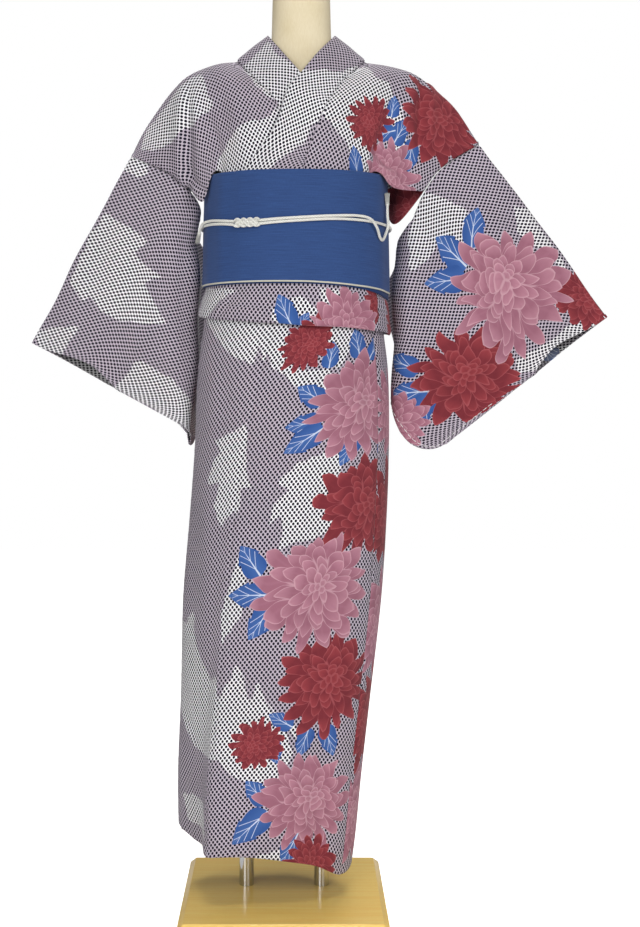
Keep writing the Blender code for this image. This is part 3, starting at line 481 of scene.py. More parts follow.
def bell(value: Array, spread: float) -> Array:
    """1 at zero, falling smoothly to nothing on either side."""
    return np.exp(-((value / spread) ** 2))


def ease(value: Array) -> Array:
    """0 below 0, 1 above 1 and a smooth step between."""
    t = np.clip(value, 0.0, 1.0)
    return t * t * (3 - 2 * t)


def unit(vectors: Array) -> Array:
    """The same vectors, each one long."""
    length = np.linalg.norm(vectors, axis=-1, keepdims=True)
    return vectors / np.maximum(length, 1e-9)


# ---------------------------------------------------------------- the surfaces
def girdle(angle: Array, z: Array, out: Array | float) -> Array:
    """Points at an angle and height, `out` metres outside the girdle surface."""
    angle, z, out = np.broadcast_arrays(
        np.asarray(angle, dtype=float), np.asarray(z, dtype=float), np.asarray(out, dtype=float)
    )
    ring = {name: read(RINGS, z, name) for name in Ring._fields[1:]}
    a = np.radians(angle)
    c, s = np.cos(a), np.sin(a)
    half = (ring["left"] - ring["right"]) / 2
    depth = np.where(s > 0, ring["middle"] - ring["front"], ring["back"] - ring["middle"])
    power = 2 / RING_POWER
    x = (ring["left"] + ring["right"]) / 2 + half * np.sign(c) * np.abs(c) ** power
    y = ring["middle"] - depth * np.sign(s) * np.abs(s) ** power
    normal = unit(np.stack([c / half, -s / depth], axis=-1))
    return np.stack([x + normal[..., 0] * out, y + normal[..., 1] * out, z], axis=-1)


def skirt_point(angle: Array, z: Array) -> Array:
    """Points of the wrapped skirt: a spiral that lies further out with each turn."""
    out = (angle - WRAP_START) / 360 * LAP
    turn = angle % 360
    out = out - read(OKUMI_SEAM, z, "recess") * bell(turn - RECESS_ANGLE, RECESS_SPREAD)
    for fold in SKIRT_FOLDS:
        fade = ease((fold.high - z) / FOLD_FADE)
        gap = (turn - fold.angle + 180) % 360 - 180
        out = out + fold.depth * bell(gap, fold.spread) * fade
    point = girdle(angle, z, out)
    past = angle - read(OKUMI_SEAM, z, "angle")
    hold = np.where(past > 0, 1 - ease(past / FLARE_RETURN), bell(past, FLARE_SPREAD))
    flare = read(OKUMI_SEAM, z, "flare") * hold
    point[..., 1] -= np.where(angle > LEFT_SIDE_SEAM, flare, 0.0)
    return point


def skirt_panel(start: Callable, end: Callable) -> Surface:
    """Surface of the skirt between two lines, each an angle for every height."""

    def surface(u: Array, v: Array) -> Array:
        """Points across the panel (u) and down it (v)."""
        guess = start(SKIRT_MIDDLE) + (end(SKIRT_MIDDLE) - start(SKIRT_MIDDLE)) * u
        z = SKIRT_TOP + (read(HEM, guess, "z") - SKIRT_TOP) * v
        angle = start(z) + (end(z) - start(z)) * u
        z = SKIRT_TOP + (read(HEM, angle, "z") - SKIRT_TOP) * v
        return skirt_point(angle, z)

    return surface


def tuck_panel(start: float, end: float) -> Surface:
    """Surface of the waist tuck: down from under the sash, round its bottom fold and up inside."""

    def surface(u: Array, v: Array) -> Array:
        """Points round the body (u) and along the tuck's profile (v)."""
        angle = start + (end - start) * u
        lines = {
            "top": np.full_like(u, TUCK_TOP), "sash": read(SASH_FOOT, (angle + 90) % 360 - 90, "z"),
            "fold": read(TUCK_FOLD, angle % 360, "z"),
        }
        z = np.stack([lines[step.line] + step.above for step in TUCK_PROFILE])
        out = np.stack([np.full_like(u, step.out) for step in TUCK_PROFILE])
        profile = through(np.stack([z, out], axis=-1), v)
        return girdle(angle, profile[:, 0], profile[:, 1])

    return surface


def sleeve_point(sleeve: Sleeve, along: Array, around: Array) -> Array:
    """Points of a sleeve.

    Args:
        sleeve: which of the two.
        along: 0 at the body and 1 at the cuff.
        around: angle about its tube, 0 at the upper fold and positive over the front layer.

    Returns:
        The points.
    """
    corner = np.maximum(0.0, along - CORNER_SHARE) / (1 - CORNER_SHARE) * math.pi / 2
    straight = np.minimum(along / CORNER_SHARE, 1.0) * (sleeve.width - SLEEVE_CORNER)
    straight = straight + SLEEVE_CORNER * np.sin(corner)
    drop = SLEEVE_DROP - SLEEVE_CORNER * (1 - np.cos(corner))
    down = drop * (1 - np.cos(around)) / 2
    front = np.sin(around) > 0
    start = read(sleeve.body_edge, down, "along")
    mouth = np.maximum(np.sin(math.pi * np.minimum(down / CUFF_OPENING, 1.0)), 0.0)
    droop = CUFF_DROOP * mouth * np.minimum(1.0, down / CUFF_OPENING * 1.5)
    end = sleeve.width - np.where(front, droop, 0.0)
    reach = start + (end - start) * straight / sleeve.width
    near_cuff = ease((straight - (sleeve.width - 0.1)) / 0.1)
    side = np.abs(np.sin(around))
    swell = SLEEVE_SWELL * side * (0.6 + 0.4 * ease(straight / 0.09))
    cuff = np.maximum(WALL / 2 + SEAM, CUFF_SWELL * mouth) * np.minimum(1.0, side * 6)
    half = swell + (cuff - swell) * near_cuff
    x = sleeve.seam_top[0] + sleeve.arm[0] * reach + sleeve.fall[0] * down
    z = sleeve.seam_top[1] + sleeve.arm[1] * reach + sleeve.fall[1] * down
    return turned_back(sleeve, x, np.where(front, -half, half), z)


def turned_back(sleeve: Sleeve, x: Array, y: Array, z: Array) -> Array:
    """A sleeve's points, bent backwards where the sleeve reaches the side of the body."""
    plane = read(sleeve.levels, z, "x")
    half = read(sleeve.levels, z, "half")
    middle = half + TURN_RADIUS
    widest = middle + half
    inside = sleeve.side * (plane - x) + widest
    angle = np.clip(inside / widest, 0.0, math.pi / 2)
    radius = middle - y
    out = widest - radius * np.sin(angle)
    deep = middle - radius * np.cos(angle)
    rest = np.maximum(0.0, inside - widest * math.pi / 2)
    curl = np.maximum(0.0, rest - TURN_STRAIGHT) / TAIL_RADIUS
    deep = deep + np.minimum(rest, TURN_STRAIGHT) + (TAIL_RADIUS + out) * np.sin(curl)
    out = (TAIL_RADIUS + out) * np.cos(curl) - TAIL_RADIUS
    bent = inside > 0
    return np.stack([np.where(bent, plane + sleeve.side * out, x), np.where(bent, deep, y), z], axis=-1)


def collar_point(u: Array, v: Array) -> Array:
    """Points of the collar band: u along it from the left front end, v from its neck edge."""
    neck = through([row.neck for row in COLLAR_ROWS], u)
    sewn = through([row.sewn for row in COLLAR_ROWS], u)
    crown = through([(row.crown,) for row in COLLAR_ROWS], u)[..., 0]
    point = neck + (sewn - neck) * v[..., None]
    point[..., 1] -= 4 * v * (1 - v) * crown
    return point


def under_collar(place: Array, inset: float) -> Array:
    """Points of a body panel beneath the collar, `inset` in from the sewn edge, at counted rows."""
    u = place / (len(COLLAR_ROWS) - 1)
    ones = np.ones_like(u)
    sewn = collar_point(u, ones)
    across = unit(collar_point(u, ones - NEAR_EDGE) - sewn)
    along = collar_point(u + STEP_ALONG, ones) - collar_point(u - STEP_ALONG, ones)
    inward = unit(np.cross(across, along))
    facing = np.sum(inward * (COLLAR_BODY_CENTRE - sewn), axis=-1, keepdims=True)
    return sewn + across * inset + inward * np.sign(facing) * LAYER


def arch(ridge: Array, foot: Array, t: Array) -> Array:
    """Points on the curve of cloth from the shoulder, t = 0, over the chest or back to a foot."""
    reach = foot - ridge
    first = ridge + reach * ARCH_TOP
    second = foot - reach * ARCH_FOOT
    t = t[..., None]
    s = 1 - t
    return ridge * s**3 + first * (3 * s * s * t) + second * (3 * s * t * t) + foot * t**3


def neck_line(side: int, t: Array, front: Array, inset: float) -> Array:
    """A body panel's line along the collar, and at the back on down beside the centre seam."""
    last = float(len(COLLAR_ROWS) - 1)
    top_row = LEFT_NECK_SIDE if side > 0 else RIGHT_NECK_SIDE
    front_end = 0.0 if side > 0 else last
    chest = under_collar(top_row + (front_end - top_row) * t, inset)
    centre = np.array((side * (SEAM / 2 + UNDERLAP - inset), 0.0, 0.0))
    f = np.clip(t / NECK_SHARE, 0.0, 1.0)
    nape = under_collar(top_row + (COLLAR_BACK - top_row) * f, inset) + centre * ease(f)[..., None]
    top = under_collar(np.full_like(t, COLLAR_BACK), inset)
    foot = girdle(np.full_like(t, BACK_SEAM), 1.058, PANEL_OUT)
    f = np.clip((t - NECK_SHARE) / (1 - NECK_SHARE), 0.0, 1.0)
    spine = arch(top, foot, f)
    spine[..., 0] = top[..., 0] + (foot[..., 0] - top[..., 0]) * f
    back = np.where((t <= NECK_SHARE)[..., None], nape, spine + centre)
    return np.where(front[..., None], chest, back)


def body_panel(side: int) -> Surface:
    """Surface of one body length from the front of the sash over the shoulder to its back."""
    stations = LEFT_STATIONS if side > 0 else RIGHT_STATIONS
    sleeve = LEFT_SLEEVE if side > 0 else RIGHT_SLEEVE
    out = PANEL_OUT if side > 0 else UNDER_PANEL_OUT

    def surface(u: Array, v: Array) -> Array:
        """Points from the neck line to the armhole (u), and from front to back (v)."""
        front = v < 0.5
        t = np.abs(1 - 2 * v)
        lines = [neck_line(side, t, front, UNDERLAP), neck_line(side, t, front, -UNDERLAP)]
        for row in stations:
            turn = np.where(front, row.front.turn, -row.back.turn)
            angle = turn if side > 0 else 180 - turn
            outward = np.where(front, out + row.front.outward, PANEL_OUT + row.back.outward)
            foot = girdle(angle, np.where(front, row.front.z, row.back.z), outward)
            lines.append(arch(np.array((row.ridge_x, 0.0, row.ridge_z)), foot, t))
        around = ARMHOLE_STEPS * np.where(front, t, -t) * 2 * math.pi / SLEEVE_STEPS
        edge = sleeve_point(sleeve, np.zeros_like(u), around)
        away = unit(edge - sleeve_point(sleeve, np.full_like(u, STEP_ALONG * 3), around))
        lines.append(edge + away * SLEEVE_SEAM)
        place = u * (len(lines) - 1)
        under = lines[0] + (lines[1] - lines[0]) * place[..., None]
        rest = through(np.stack(lines[1:]), (place - 1) / (len(lines) - 2))
        return np.where((place < 1)[..., None], under, rest)

    return surface


def sash_wrap(out: float, inner: bool) -> Surface:
    """Surface of one turn of the sash, open at the centre back."""

    def surface(u: Array, v: Array) -> Array:
        """Points round the body (u) and down the sash (v)."""
        angle = BACK_SEAM - 360 + SASH_GAP + (360 - 2 * SASH_GAP) * u
        z = SASH_TOP + (read(SASH_FOOT, angle, "z") - SASH_TOP) * v
        if inner:
            z = z - SASH_UNDER_DROP - SASH_LEAN * bell(angle - SASH_LEAN_ANGLE, SASH_LEAN_SPREAD) * v
        return girdle(angle, z, out)

    return surface


def tie_point(u: Array, v: Array) -> Array:
    """Points of the flat folded tie at the back: u round its loop, v across its width."""
    centre = girdle(np.array(BACK_SEAM), np.array(1.0), SASH_OUT + SASH_STEP)
    x = centre[0] + TIE_WIDTH * (v - 0.5)
    c, s = np.cos(2 * math.pi * u), np.sin(2 * math.pi * u)
    flat = 2 / 5
    z = (TIE_TOP + TIE_FOOT) / 2 + (TIE_TOP - TIE_FOOT) / 2 * np.sign(c) * np.abs(c) ** flat
    depth = TIE_HALF_DEPTH * np.sign(s) * np.abs(s) ** flat
    lean = TIE_LEAN * ease((TIE_LEAN_TOP - z) / TIE_LEAN_RUN)
    y = centre[1] + WALL / 2 + TIE_GAP + depth + lean - TIE_SAG * (x - centre[0]) ** 2
    return np.stack([x, y, z], axis=-1)


def cord_route(stops: Sequence[CordStop], count: int) -> Array:
    """Points of a cord's route over the sash, read from a smooth curve through its stops."""
    outside = SASH_OUT + SASH_STEP + WALL / 2 + CORD_TOUCH + CORD_DIAMETER / 2
    route = through([tuple(stop) for stop in stops], np.linspace(0, 1, count))
    return girdle(route[:, 0], route[:, 1], outside + np.maximum(route[:, 2], 0.0))


# ---------------------------------------------------------------- creases
class View(Enum):
    """A side of the robe that things are drawn on: its two axes, and the way that side faces."""

    FRONT = (0, 2, 1, -1)
    BACK = (0, 2, 1, 1)
    LEFT = (1, 2, 0, 1)
    RIGHT = (1, 2, 0, -1)


@dataclass(frozen=True)
class Crease:
    """A soft crease: a trough along a line, with a ridge beside it.

    Attributes:
        line: its points, in millimetres on the two axes of its view.
        width: half the width of the trough, in millimetres.
        depth: depth of the trough at its middle, in millimetres; negative makes a ridge.
        ridge: height of the ridge beside it, as a share of the depth; its sign is its side.
        view: the side of the robe it is on.
    """

    line: tuple
    width: float
    depth: float
    ridge: float = 0.5
    view: View = View.FRONT

    def lift(self, points: Array, normals: Array) -> Array:
        """How far the crease moves each point outwards."""
        first, second, across, sign = self.view.value
        place = points[..., [first, second]]
        facing = ease(normals[..., across] * sign * 3)
        line, width, depth = (np.asarray(value) / 1000 for value in (self.line, self.width, self.depth))
        lengths = np.linalg.norm(np.diff(line, axis=0), axis=1)
        total = lengths.sum()
        nearest = np.full(place.shape[:-1], 1e9)
        aside = np.zeros_like(nearest)
        run = np.zeros_like(nearest)
        done = 0.0
        for start, end, length in zip(line[:-1], line[1:], lengths):
            way = (end - start) / length
            offset = place - start
            along = np.clip(offset @ way, 0.0, length)
            beside = offset - along[..., None] * way
            distance = np.linalg.norm(beside, axis=-1)
            closer = distance < nearest
            sided = np.sign(offset[..., 0] * way[1] - offset[..., 1] * way[0]) * distance
            aside = np.where(closer, sided, aside)
            run = np.where(closer, (done + along) / total, run)
            nearest = np.where(closer, distance, nearest)
            done += length
        taper = 0.15 + 0.85 * np.sin(math.pi * np.clip(run, 0.0, 1.0))
        shift = math.copysign(1.5, self.ridge) * width
        beside = abs(self.ridge) * bell(aside - shift, width * 1.15)
        return depth * taper * facing * (beside - bell(aside, width * (0.5 + 0.5 * taper)))


def run_along(line: Array) -> Array:
    """The distance along a line, in metres, at each of its points."""
    return np.concatenate([[0.0], np.cumsum(np.linalg.norm(np.diff(line, axis=0), axis=-1))])


def ripple(grain: Array, seed: int, height: float, across: float, along: float) -> Array:
    """A slow, uneven wave over a piece.

    Args:
        grain: places in the piece's own grain, in metres.
        seed: which wave.
        height: about how high it is.
        across: its wavelength across the grain.
        along: its wavelength along the grain.

    Returns:
        The height at each place.
    """
    chance = np.random.RandomState(seed)
    total = np.zeros(grain.shape[:-1])
    for _ in range(5):
        turn = 2 * math.pi * chance.rand(2)
        stretch = 0.7 + 0.9 * chance.rand(2)
        sway = 0.6 * np.sin(2 * math.pi * grain[..., 1] / (along * stretch[1]) + turn[1])
        total += np.sin(2 * math.pi * grain[..., 0] / (across * stretch[0]) + turn[0] + sway)
    return total * height / 2.6


# ---------------------------------------------------------------- colours and nodes
def linear(code: str) -> tuple[float, float, float, float]:
    """The linear colour of an sRGB hex value, with full alpha."""
    parts = [int(code[i : i + 2], 16) / 255 for i in (1, 3, 5)]
    made = [p / 12.92 if p <= 0.04045 else ((p + 0.055) / 1.055) ** 2.4 for p in parts]
    return (made[0], made[1], made[2], 1.0)


def dress(node: bpy.types.Node, **values: object) -> None:
    """Give a node's inputs their values, each named with underscores for spaces."""
    for key, value in values.items():
        feed(node.inputs[key.replace("_", " ")], value)


def outlet(value: object) -> object:
    """The socket that a node or a tree's number gives its value from; anything else as it is."""
    if isinstance(value, Number):
        return value.socket
    return next(out for out in value.outputs if out.enabled) if isinstance(value, bpy.types.Node) else value


def feed(socket: bpy.types.NodeSocket, value: object) -> None:
    """Give a socket what a node, another socket or a number gives, or a colour; or leave it for None."""
    value = outlet(value)
    if isinstance(value, bpy.types.NodeSocket):
        socket.id_data.links.new(value, socket)
    elif value is not None:
        socket.default_value = linear(value) if isinstance(value, str) else value


class Number:
    """A number in a node tree; arithmetic on it and comparisons add Math nodes."""

    def __init__(self, source: object) -> None:
        """Take the number that a node or a socket gives."""
        self.socket = outlet(source)

    def calc(self, operation: str, *values: object) -> Number:
        """The outcome of a Math node whose first input is this number."""
        return Number(add(self.socket.id_data, "Math", self, *values, operation=operation))

    def __rsub__(self, value: float) -> Number:
        """A plain value less this number."""
        return Number(add(self.socket.id_data, "Math", value, self, operation="SUBTRACT"))

    __add__ = partialmethod(calc, "ADD")
    __sub__ = partialmethod(calc, "SUBTRACT")
    __mul__ = partialmethod(calc, "MULTIPLY")
    __truediv__ = partialmethod(calc, "DIVIDE")
    __pow__ = partialmethod(calc, "POWER")
    __abs__ = partialmethod(calc, "ABSOLUTE")
    __lt__ = partialmethod(calc, "LESS_THAN")
    __gt__ = partialmethod(calc, "GREATER_THAN")
    scaled = partialmethod(calc, "MULTIPLY_ADD")


def axes(tree: Tree, vector: object) -> list[Number]:
    """The three numbers of a vector."""
    return [Number(out) for out in add(tree, "SeparateXYZ", vector).outputs]


def noise(tree: Tree, place: object, scale: float, detail: float, **settings: float) -> Number:
    """Add a Noise Texture over a place."""
    return Number(add(tree, "TexNoise", place, Scale=scale, Detail=detail, **settings))


def ramp(tree: Tree, *values: object) -> bpy.types.Node:
    """Add a node that carries a number from one range, clamped, into another."""
    return add(tree, "MapRange", *values)


def tinted(tree: Tree, colour: object, chroma: object, shade: object) -> bpy.types.Node:
    """Add a node that changes a colour's saturation and value."""
    return add(tree, "HueSaturation", 0.5, chroma, shade, 1.0, colour)


def mix(tree: Tree, *values: object) -> bpy.types.Node:
    """Add a node that mixes two colours by a share."""
    return add(tree, "Mix", *values, data_type="RGBA")


def add(tree: Tree, kind: str, *values: object, **settings: object) -> bpy.types.Node:
    """Add a node to a tree.

    Args:
        tree: the node tree.
        kind: the node's type, without its "ShaderNode" or "Node" prefix.
        values: for its shown inputs in order, as `feed` takes them.
        settings: the node's own settings; a capital letter starts the name of an input.

    Returns:
        The node.
    """
    prefix = "Node" if kind in ("GroupInput", "GroupOutput") else "ShaderNode"
    node = tree.nodes.new(prefix + kind)
    named = {key: value for key, value in settings.items() if key[0].isupper()}
    for key, value in settings.items():
        if key not in named:
            setattr(node, key, value)
    for socket, value in zip([socket for socket in node.inputs if socket.enabled], values):
        feed(socket, value)
    dress(node, **named)
    return node


def group(name: str, inputs: dict[str, str], outputs: dict[str, str]) -> tuple:
    """Start a node group.

    Args:
        name: its name.
        inputs: the kind of each input socket, by name: Float, Vector or Color.
        outputs: the same for its outputs.

    Returns:
        The tree and its inputs, as sockets to link from.
    """
    tree = bpy.data.node_groups.new(name, "ShaderNodeTree")
    for way, sockets in (("INPUT", inputs), ("OUTPUT", outputs)):
        for label, kind in sockets.items():
            tree.interface.new_socket(name=label, in_out=way, socket_type=f"NodeSocket{kind}")
    return tree, add(tree, "GroupInput").outputs


def material(name: str) -> tuple[Material, Tree, bpy.types.Node]:
    """A new material with its tree and its Principled BSDF."""
    made = bpy.data.materials.new(name)
    made.use_nodes = True
    return made, made.node_tree, made.node_tree.nodes["Principled BSDF"]


# ---------------------------------------------------------------- the print
DOT_WEFT = 0.0063  # between dots of one row of the print, across the cloth
DOT_WARP = 0.0081  # between rows with dots in the same places, along it
DOT_HALF_WIDTH = 0.00168
DOT_HALF_HEIGHT = 0.00205
CLOUD_LENGTH = 0.15  # of the light clouds that lie slantwise behind the dots
CLOUD_WIDTH = 0.062
OFF_PIECE = 9.0  # flower coordinates of cloth that no flower covers
THREADS_APART = 0.0012  # drawn; the real ones lie 0.35 mm apart
BRAID_PITCH = 0.0042  # of the cord's strands, along it


@dataclass(frozen=True)
class Dahlia:
    """Inks of one dahlia of the print."""

    base: str
    tip: str
    rim: str
    vein: str


PINK_DAHLIA = Dahlia(base="#A0687A", tip="#BE8797", rim="#CFA3AE", vein="#AC7486")
RED_DAHLIA = Dahlia(base="#7B2C35", tip="#9B3E44", rim="#AC555A", vein="#85323A")


@dataclass(frozen=True)
class CottonPrint:
    """Plain-weave cotton, dyed through stencils: dots on clouded ground, dahlias and leaves.

    The cloth is matt with a little sheen from its fibres; its threads show as a fine grid.
    """

    dot: str = "#181024"
    light: str = "#F6F4F7"
    dim: str = "#C6BBC8"
    leaf: str = "#456BAF"
    leaf_deep: str = "#355A9E"
    leaf_vein: str = "#CFDAEE"
    # painted shade: how far the reverse, seen inside the sleeves, is greyed and darkened
    reverse_painted_shade_chroma: float = 0.55
    reverse_painted_shade: float = 0.45

    def ground(self) -> Tree:
        """The dots on their clouded ground, the clouds cut off along the dots' own grid."""
        tree, given = group(
            "clouded dots", {"Grain": "Vector", "Cloud": "Float", "Seed": "Float"}, {"Color": "Color"}
        )
        x, y, _ = axes(tree, given["Grain"])
        weft, warp = x / DOT_WEFT, y / DOT_WARP
        lines = (weft + warp, weft - warp)
        near = [line.calc("ROUND") for line in lines]
        off = [line - cell for line, cell in zip(lines, near)]
        across = abs((off[0] + off[1]) * (DOT_WEFT / 2 / DOT_HALF_WIDTH))
        down = abs((off[0] - off[1]) * (DOT_WARP / 2 / DOT_HALF_HEIGHT))
        inside = across**2.3 + down**2.3 < 1.0
        pitch = math.hypot(DOT_WEFT, DOT_WARP) / 2
        cells = (near[0] * (pitch / CLOUD_WIDTH), near[1] * (pitch / CLOUD_LENGTH))
        cell = add(tree, "CombineXYZ", *cells, given["Seed"])
        amount = (noise(tree, cell, 1.0, 1.5, Roughness=0.45) - 0.5).scaled(2.6, given["Cloud"])
        cloud = (noise(tree, cell, 4.5, 0.0) - 0.5).scaled(0.9, amount) > 0.0
        ground = mix(tree, cloud, self.dim, self.light)
        add(tree, "GroupOutput", mix(tree, inside, ground, self.dot))
        return tree

    def petal_ring(self) -> Tree:
        """One ring of pointed petals laid over what is under it."""
        tree, given = group(
            "ring of petals",
            {"Place": "Vector", "Under": "Color", "Cover": "Float", "Red": "Float", "Seed": "Float"}
            | dict.fromkeys(("Petals", "Reach", "Twist", "Notch", "Shade"), "Float"),
            {"Color": "Color", "Cover": "Float"},
        )
        whole, petals = Number(given["Reach"]), Number(given["Petals"])
        heart = add(tree, "CombineXYZ", (1.0 - whole) * 0.15, None, None)
        place = add(tree, "VectorMath", given["Place"], heart, operation="SUBTRACT")
        radius = Number(add(tree, "VectorMath", place, operation="LENGTH").outputs["Value"])
        x, y, _ = axes(tree, place)
        count = y.calc("ARCTAN2", x).scaled(1 / (2 * math.pi), given["Twist"]) * petals
        index = count.calc("FLOOR")
        aside = abs((count - index).scaled(2.0, -1.0))
        own = add(tree, "CombineXYZ", index.calc("FLOORED_MODULO", petals), given["Seed"], petals)
        chance = Number(add(tree, "TexWhiteNoise", own, noise_dimensions="3D").outputs["Value"])
        reach = chance.scaled(0.2, 0.86) * whole
        edge = reach * (1.0 - (aside * aside).scaled(0.56, 0.44) * aside * given["Notch"])
        inside = radius < edge
        flank = (1.0 - aside) * radius * math.pi / petals
        rim = ramp(tree, (edge - radius).calc("MINIMUM", flank), 0.008, 0.03, 0.75, 0.0)
        depth = ramp(tree, reach - radius, 0.02, 0.2, 0.0, 1.0)
        tips, bases, rims, veins = (
            mix(tree, given["Red"], getattr(PINK_DAHLIA, ink), getattr(RED_DAHLIA, ink))
            for ink in ("tip", "base", "rim", "vein")
        )
        vein = ramp(tree, aside, 0.04, 0.2, 0.35, 0.0)
        petal = mix(tree, vein, mix(tree, depth, tips, bases), veins)
        petal = mix(tree, rim, petal, rims)
        petal = tinted(tree, petal, 1.0, chance.scaled(0.1, given["Shade"]))
        shown = mix(tree, inside, given["Under"], petal)
        add(tree, "GroupOutput", shown, Number(given["Cover"]).calc("MAXIMUM", inside))
        return tree

    def dahlia(self, ring: Tree) -> Tree:
        """A whole dahlia over what is under it: rings of petals, each smaller and fewer."""
        tree, given = group(
            "dahlia", {"Place": "Vector", "Facts": "Vector", "Under": "Color"}, {"Color": "Color"}
        )
        red, seed, _ = axes(tree, given["Facts"])
        apart = add(tree, "CombineXYZ", None, None, seed)
        apart = add(tree, "VectorMath", given["Place"], apart, operation="ADD")
        sway = add(tree, "TexNoise", apart, Scale=2.2, Detail=0.5).outputs["Color"]
        sway = add(tree, "VectorMath", sway, (0.5, 0.5, 0.5), operation="SUBTRACT")
        sway = add(tree, "VectorMath", sway, (0.3, 0.3, 0.0), operation="MULTIPLY")
        place = add(tree, "VectorMath", given["Place"], sway, operation="ADD")
        rings = (
            (15, 1.0, 0.0, 0.4, 0.96), (14, 0.84, 0.13, 0.38, 0.99), (12, 0.69, 0.31, 0.38, 0.95),
            (10, 0.54, 0.22, 0.4, 0.99), (8, 0.4, 0.45, 0.42, 0.95), (6, 0.27, 0.1, 0.44, 0.99),
            (3, 0.15, 0.35, 0.44, 0.95),
        )
        under, cover = given["Under"], 0.0
        for petals, reach, twist, notch, shade in rings:
            layer = add(tree, "Group", node_tree=ring, Place=place, Under=under, Cover=cover)
            dress(layer, Red=red, Seed=seed, Petals=float(petals))
            dress(layer, Reach=reach, Twist=twist, Notch=notch, Shade=shade)
            under, cover = layer.outputs["Color"], layer.outputs["Cover"]
        add(tree, "GroupOutput", under)
        return tree

    def leaf_blade(self) -> Tree:
        """A broad leaf with a few forward teeth, a pale midrib and long curved side veins."""
        tree, given = group("leaf", {"Place": "Vector", "Under": "Color"}, {"Color": "Color"})
        x, y, _ = axes(tree, given["Place"])
        y = abs(y)
        width = (1.0 - x).calc("MAXIMUM", 0.0) ** 0.9 * (x + 1.0).calc("MAXIMUM", 0.0) ** 0.5
        width = width * (x + 0.9).calc("FRACT").scaled(-0.12, 0.64)
        along = (y**0.85).scaled(-1.9, x)
        veins = along.scaled(1.75, 0.15).calc("FRACT") < 0.11
        veins = veins * (y < width * 0.8) * (along > -0.95)
        veins = veins.calc("MAXIMUM", y < x.scaled(-0.026, 0.022))
        blade = mix(tree, ramp(tree, y, 0.0, 0.5, 0.0, 1.0), self.leaf, self.leaf_deep)
        blade = mix(tree, veins, blade, self.leaf_vein)
        add(tree, "GroupOutput", mix(tree, y < width, given["Under"], blade))
        return tree

    def finishes(self) -> list[Material]:
        """The cotton's eight materials: plain dots, with leaves, dahlias or both; then their reverse, greyed
        and darkened as painted shade.
        """
        ground, ring, blade = self.ground(), self.petal_ring(), self.leaf_blade()
        dahlia = self.dahlia(ring)
        made = []
        stencils = (
            ("printed cotton", ()), ("printed cotton with leaves", ("leaf_1", "leaf_0")),
            ("printed cotton with dahlias", ("bloom_1", "bloom_0")),
            ("printed cotton with leaves and dahlias", ("leaf_1", "leaf_0", "bloom_1", "bloom_0")),
        )
        for reverse, (name, layers) in itertools.product((False, True), stencils):
            finish, tree, shader = material(f"{name}, reverse" if reverse else name)
            grain = add(tree, "UVMap", uv_map="grain")
            cloud = add(tree, "Attribute", attribute_name="cloud")
            share, seed, _ = axes(tree, cloud.outputs["Vector"])
            colour = add(tree, "Group", node_tree=ground, Grain=grain, Cloud=share, Seed=seed)
            for layer in layers:
                place = add(tree, "UVMap", uv_map=layer)
                if layer.startswith("leaf"):
                    colour = add(tree, "Group", node_tree=blade, Place=place, Under=colour)
                    continue
                own = add(tree, "Attribute", attribute_name=f"{layer}_facts").outputs["Vector"]
                colour = add(tree, "Group", node_tree=dahlia, Place=place, Facts=own, Under=colour)
            # painted shade: the reverse, which shows inside the sleeves, greyed and darkened
            if reverse:
                colour = tinted(tree, colour, self.reverse_painted_shade_chroma, self.reverse_painted_shade)
            self.weave(tree, shader, grain, colour)
            made.append(finish)
        return made

    def weave(
        self, tree: Tree, shader: bpy.types.Node, grain: bpy.types.Node, colour: bpy.types.Node
    ) -> None:
        """Dress a shader as plain-weave cotton.

        The real threads lie 0.35 mm apart; they are drawn coarser, the finest that shows.
        """
        x, y, _ = axes(tree, grain)
        across, along = ((part * (2 * math.pi / THREADS_APART)).calc("SINE") for part in (x, y))
        height = noise(tree, grain, 70.0, 3.0, Roughness=0.55).scaled(14.0, across * along)
        bump = add(tree, "Bump", Strength=0.3, Distance=0.0001, Height=height)
        wear = ramp(tree, noise(tree, grain, 9.0, 2.0), 0.3, 0.7, 0.95, 1.03)
        colour = tinted(tree, colour, 1.0, wear)
        dress(shader, Base_Color=colour, Normal=bump, Roughness=0.88, Specular_IOR_Level=0.25)
        dress(shader, Sheen_Weight=0.1, Sheen_Roughness=0.5)


@dataclass(frozen=True)
class SashWeave:
    """Half-width sash of slub-yarn weave: blue, matt, ribbed across by its uneven weft."""

    blue: str = "#34548C"
    deep: str = "#284276"
    edge: str = "#CFCDBE"

    def finish(self, name: str, edge_at: float | None) -> Material:
        """The weave, with its cream reverse showing as a line below `edge_at` metres down, if given."""
        made, tree, shader = material(name)
        grain = add(tree, "UVMap", uv_map="grain")
        # slubs are 0.6 mm thick and a few centimetres long; both sizes show in the render
        stretch = add(tree, "Mapping", Vector=grain, Scale=(22.0, 900.0, 1.0))
        slubs = noise(tree, stretch, 1.0, 3.0, Roughness=0.7)
        upright = add(tree, "Mapping", Vector=grain, Scale=(900.0, 240.0, 1.0))
        shade = ramp(tree, noise(tree, upright, 1.0, 2.0).scaled(0.35, slubs), 0.45, 0.9, 0.0, 1.0)
        colour = mix(tree, shade, self.deep, self.blue)
        if edge_at is not None:
            colour = mix(tree, axes(tree, grain)[1] > edge_at, colour, self.edge)
        bump = add(tree, "Bump", Strength=0.5, Distance=0.00025, Height=slubs)
        dress(shader, Base_Color=colour, Normal=bump, Roughness=0.8, Specular_IOR_Level=0.3)
        dress(shader, Sheen_Weight=0.12)
        return made


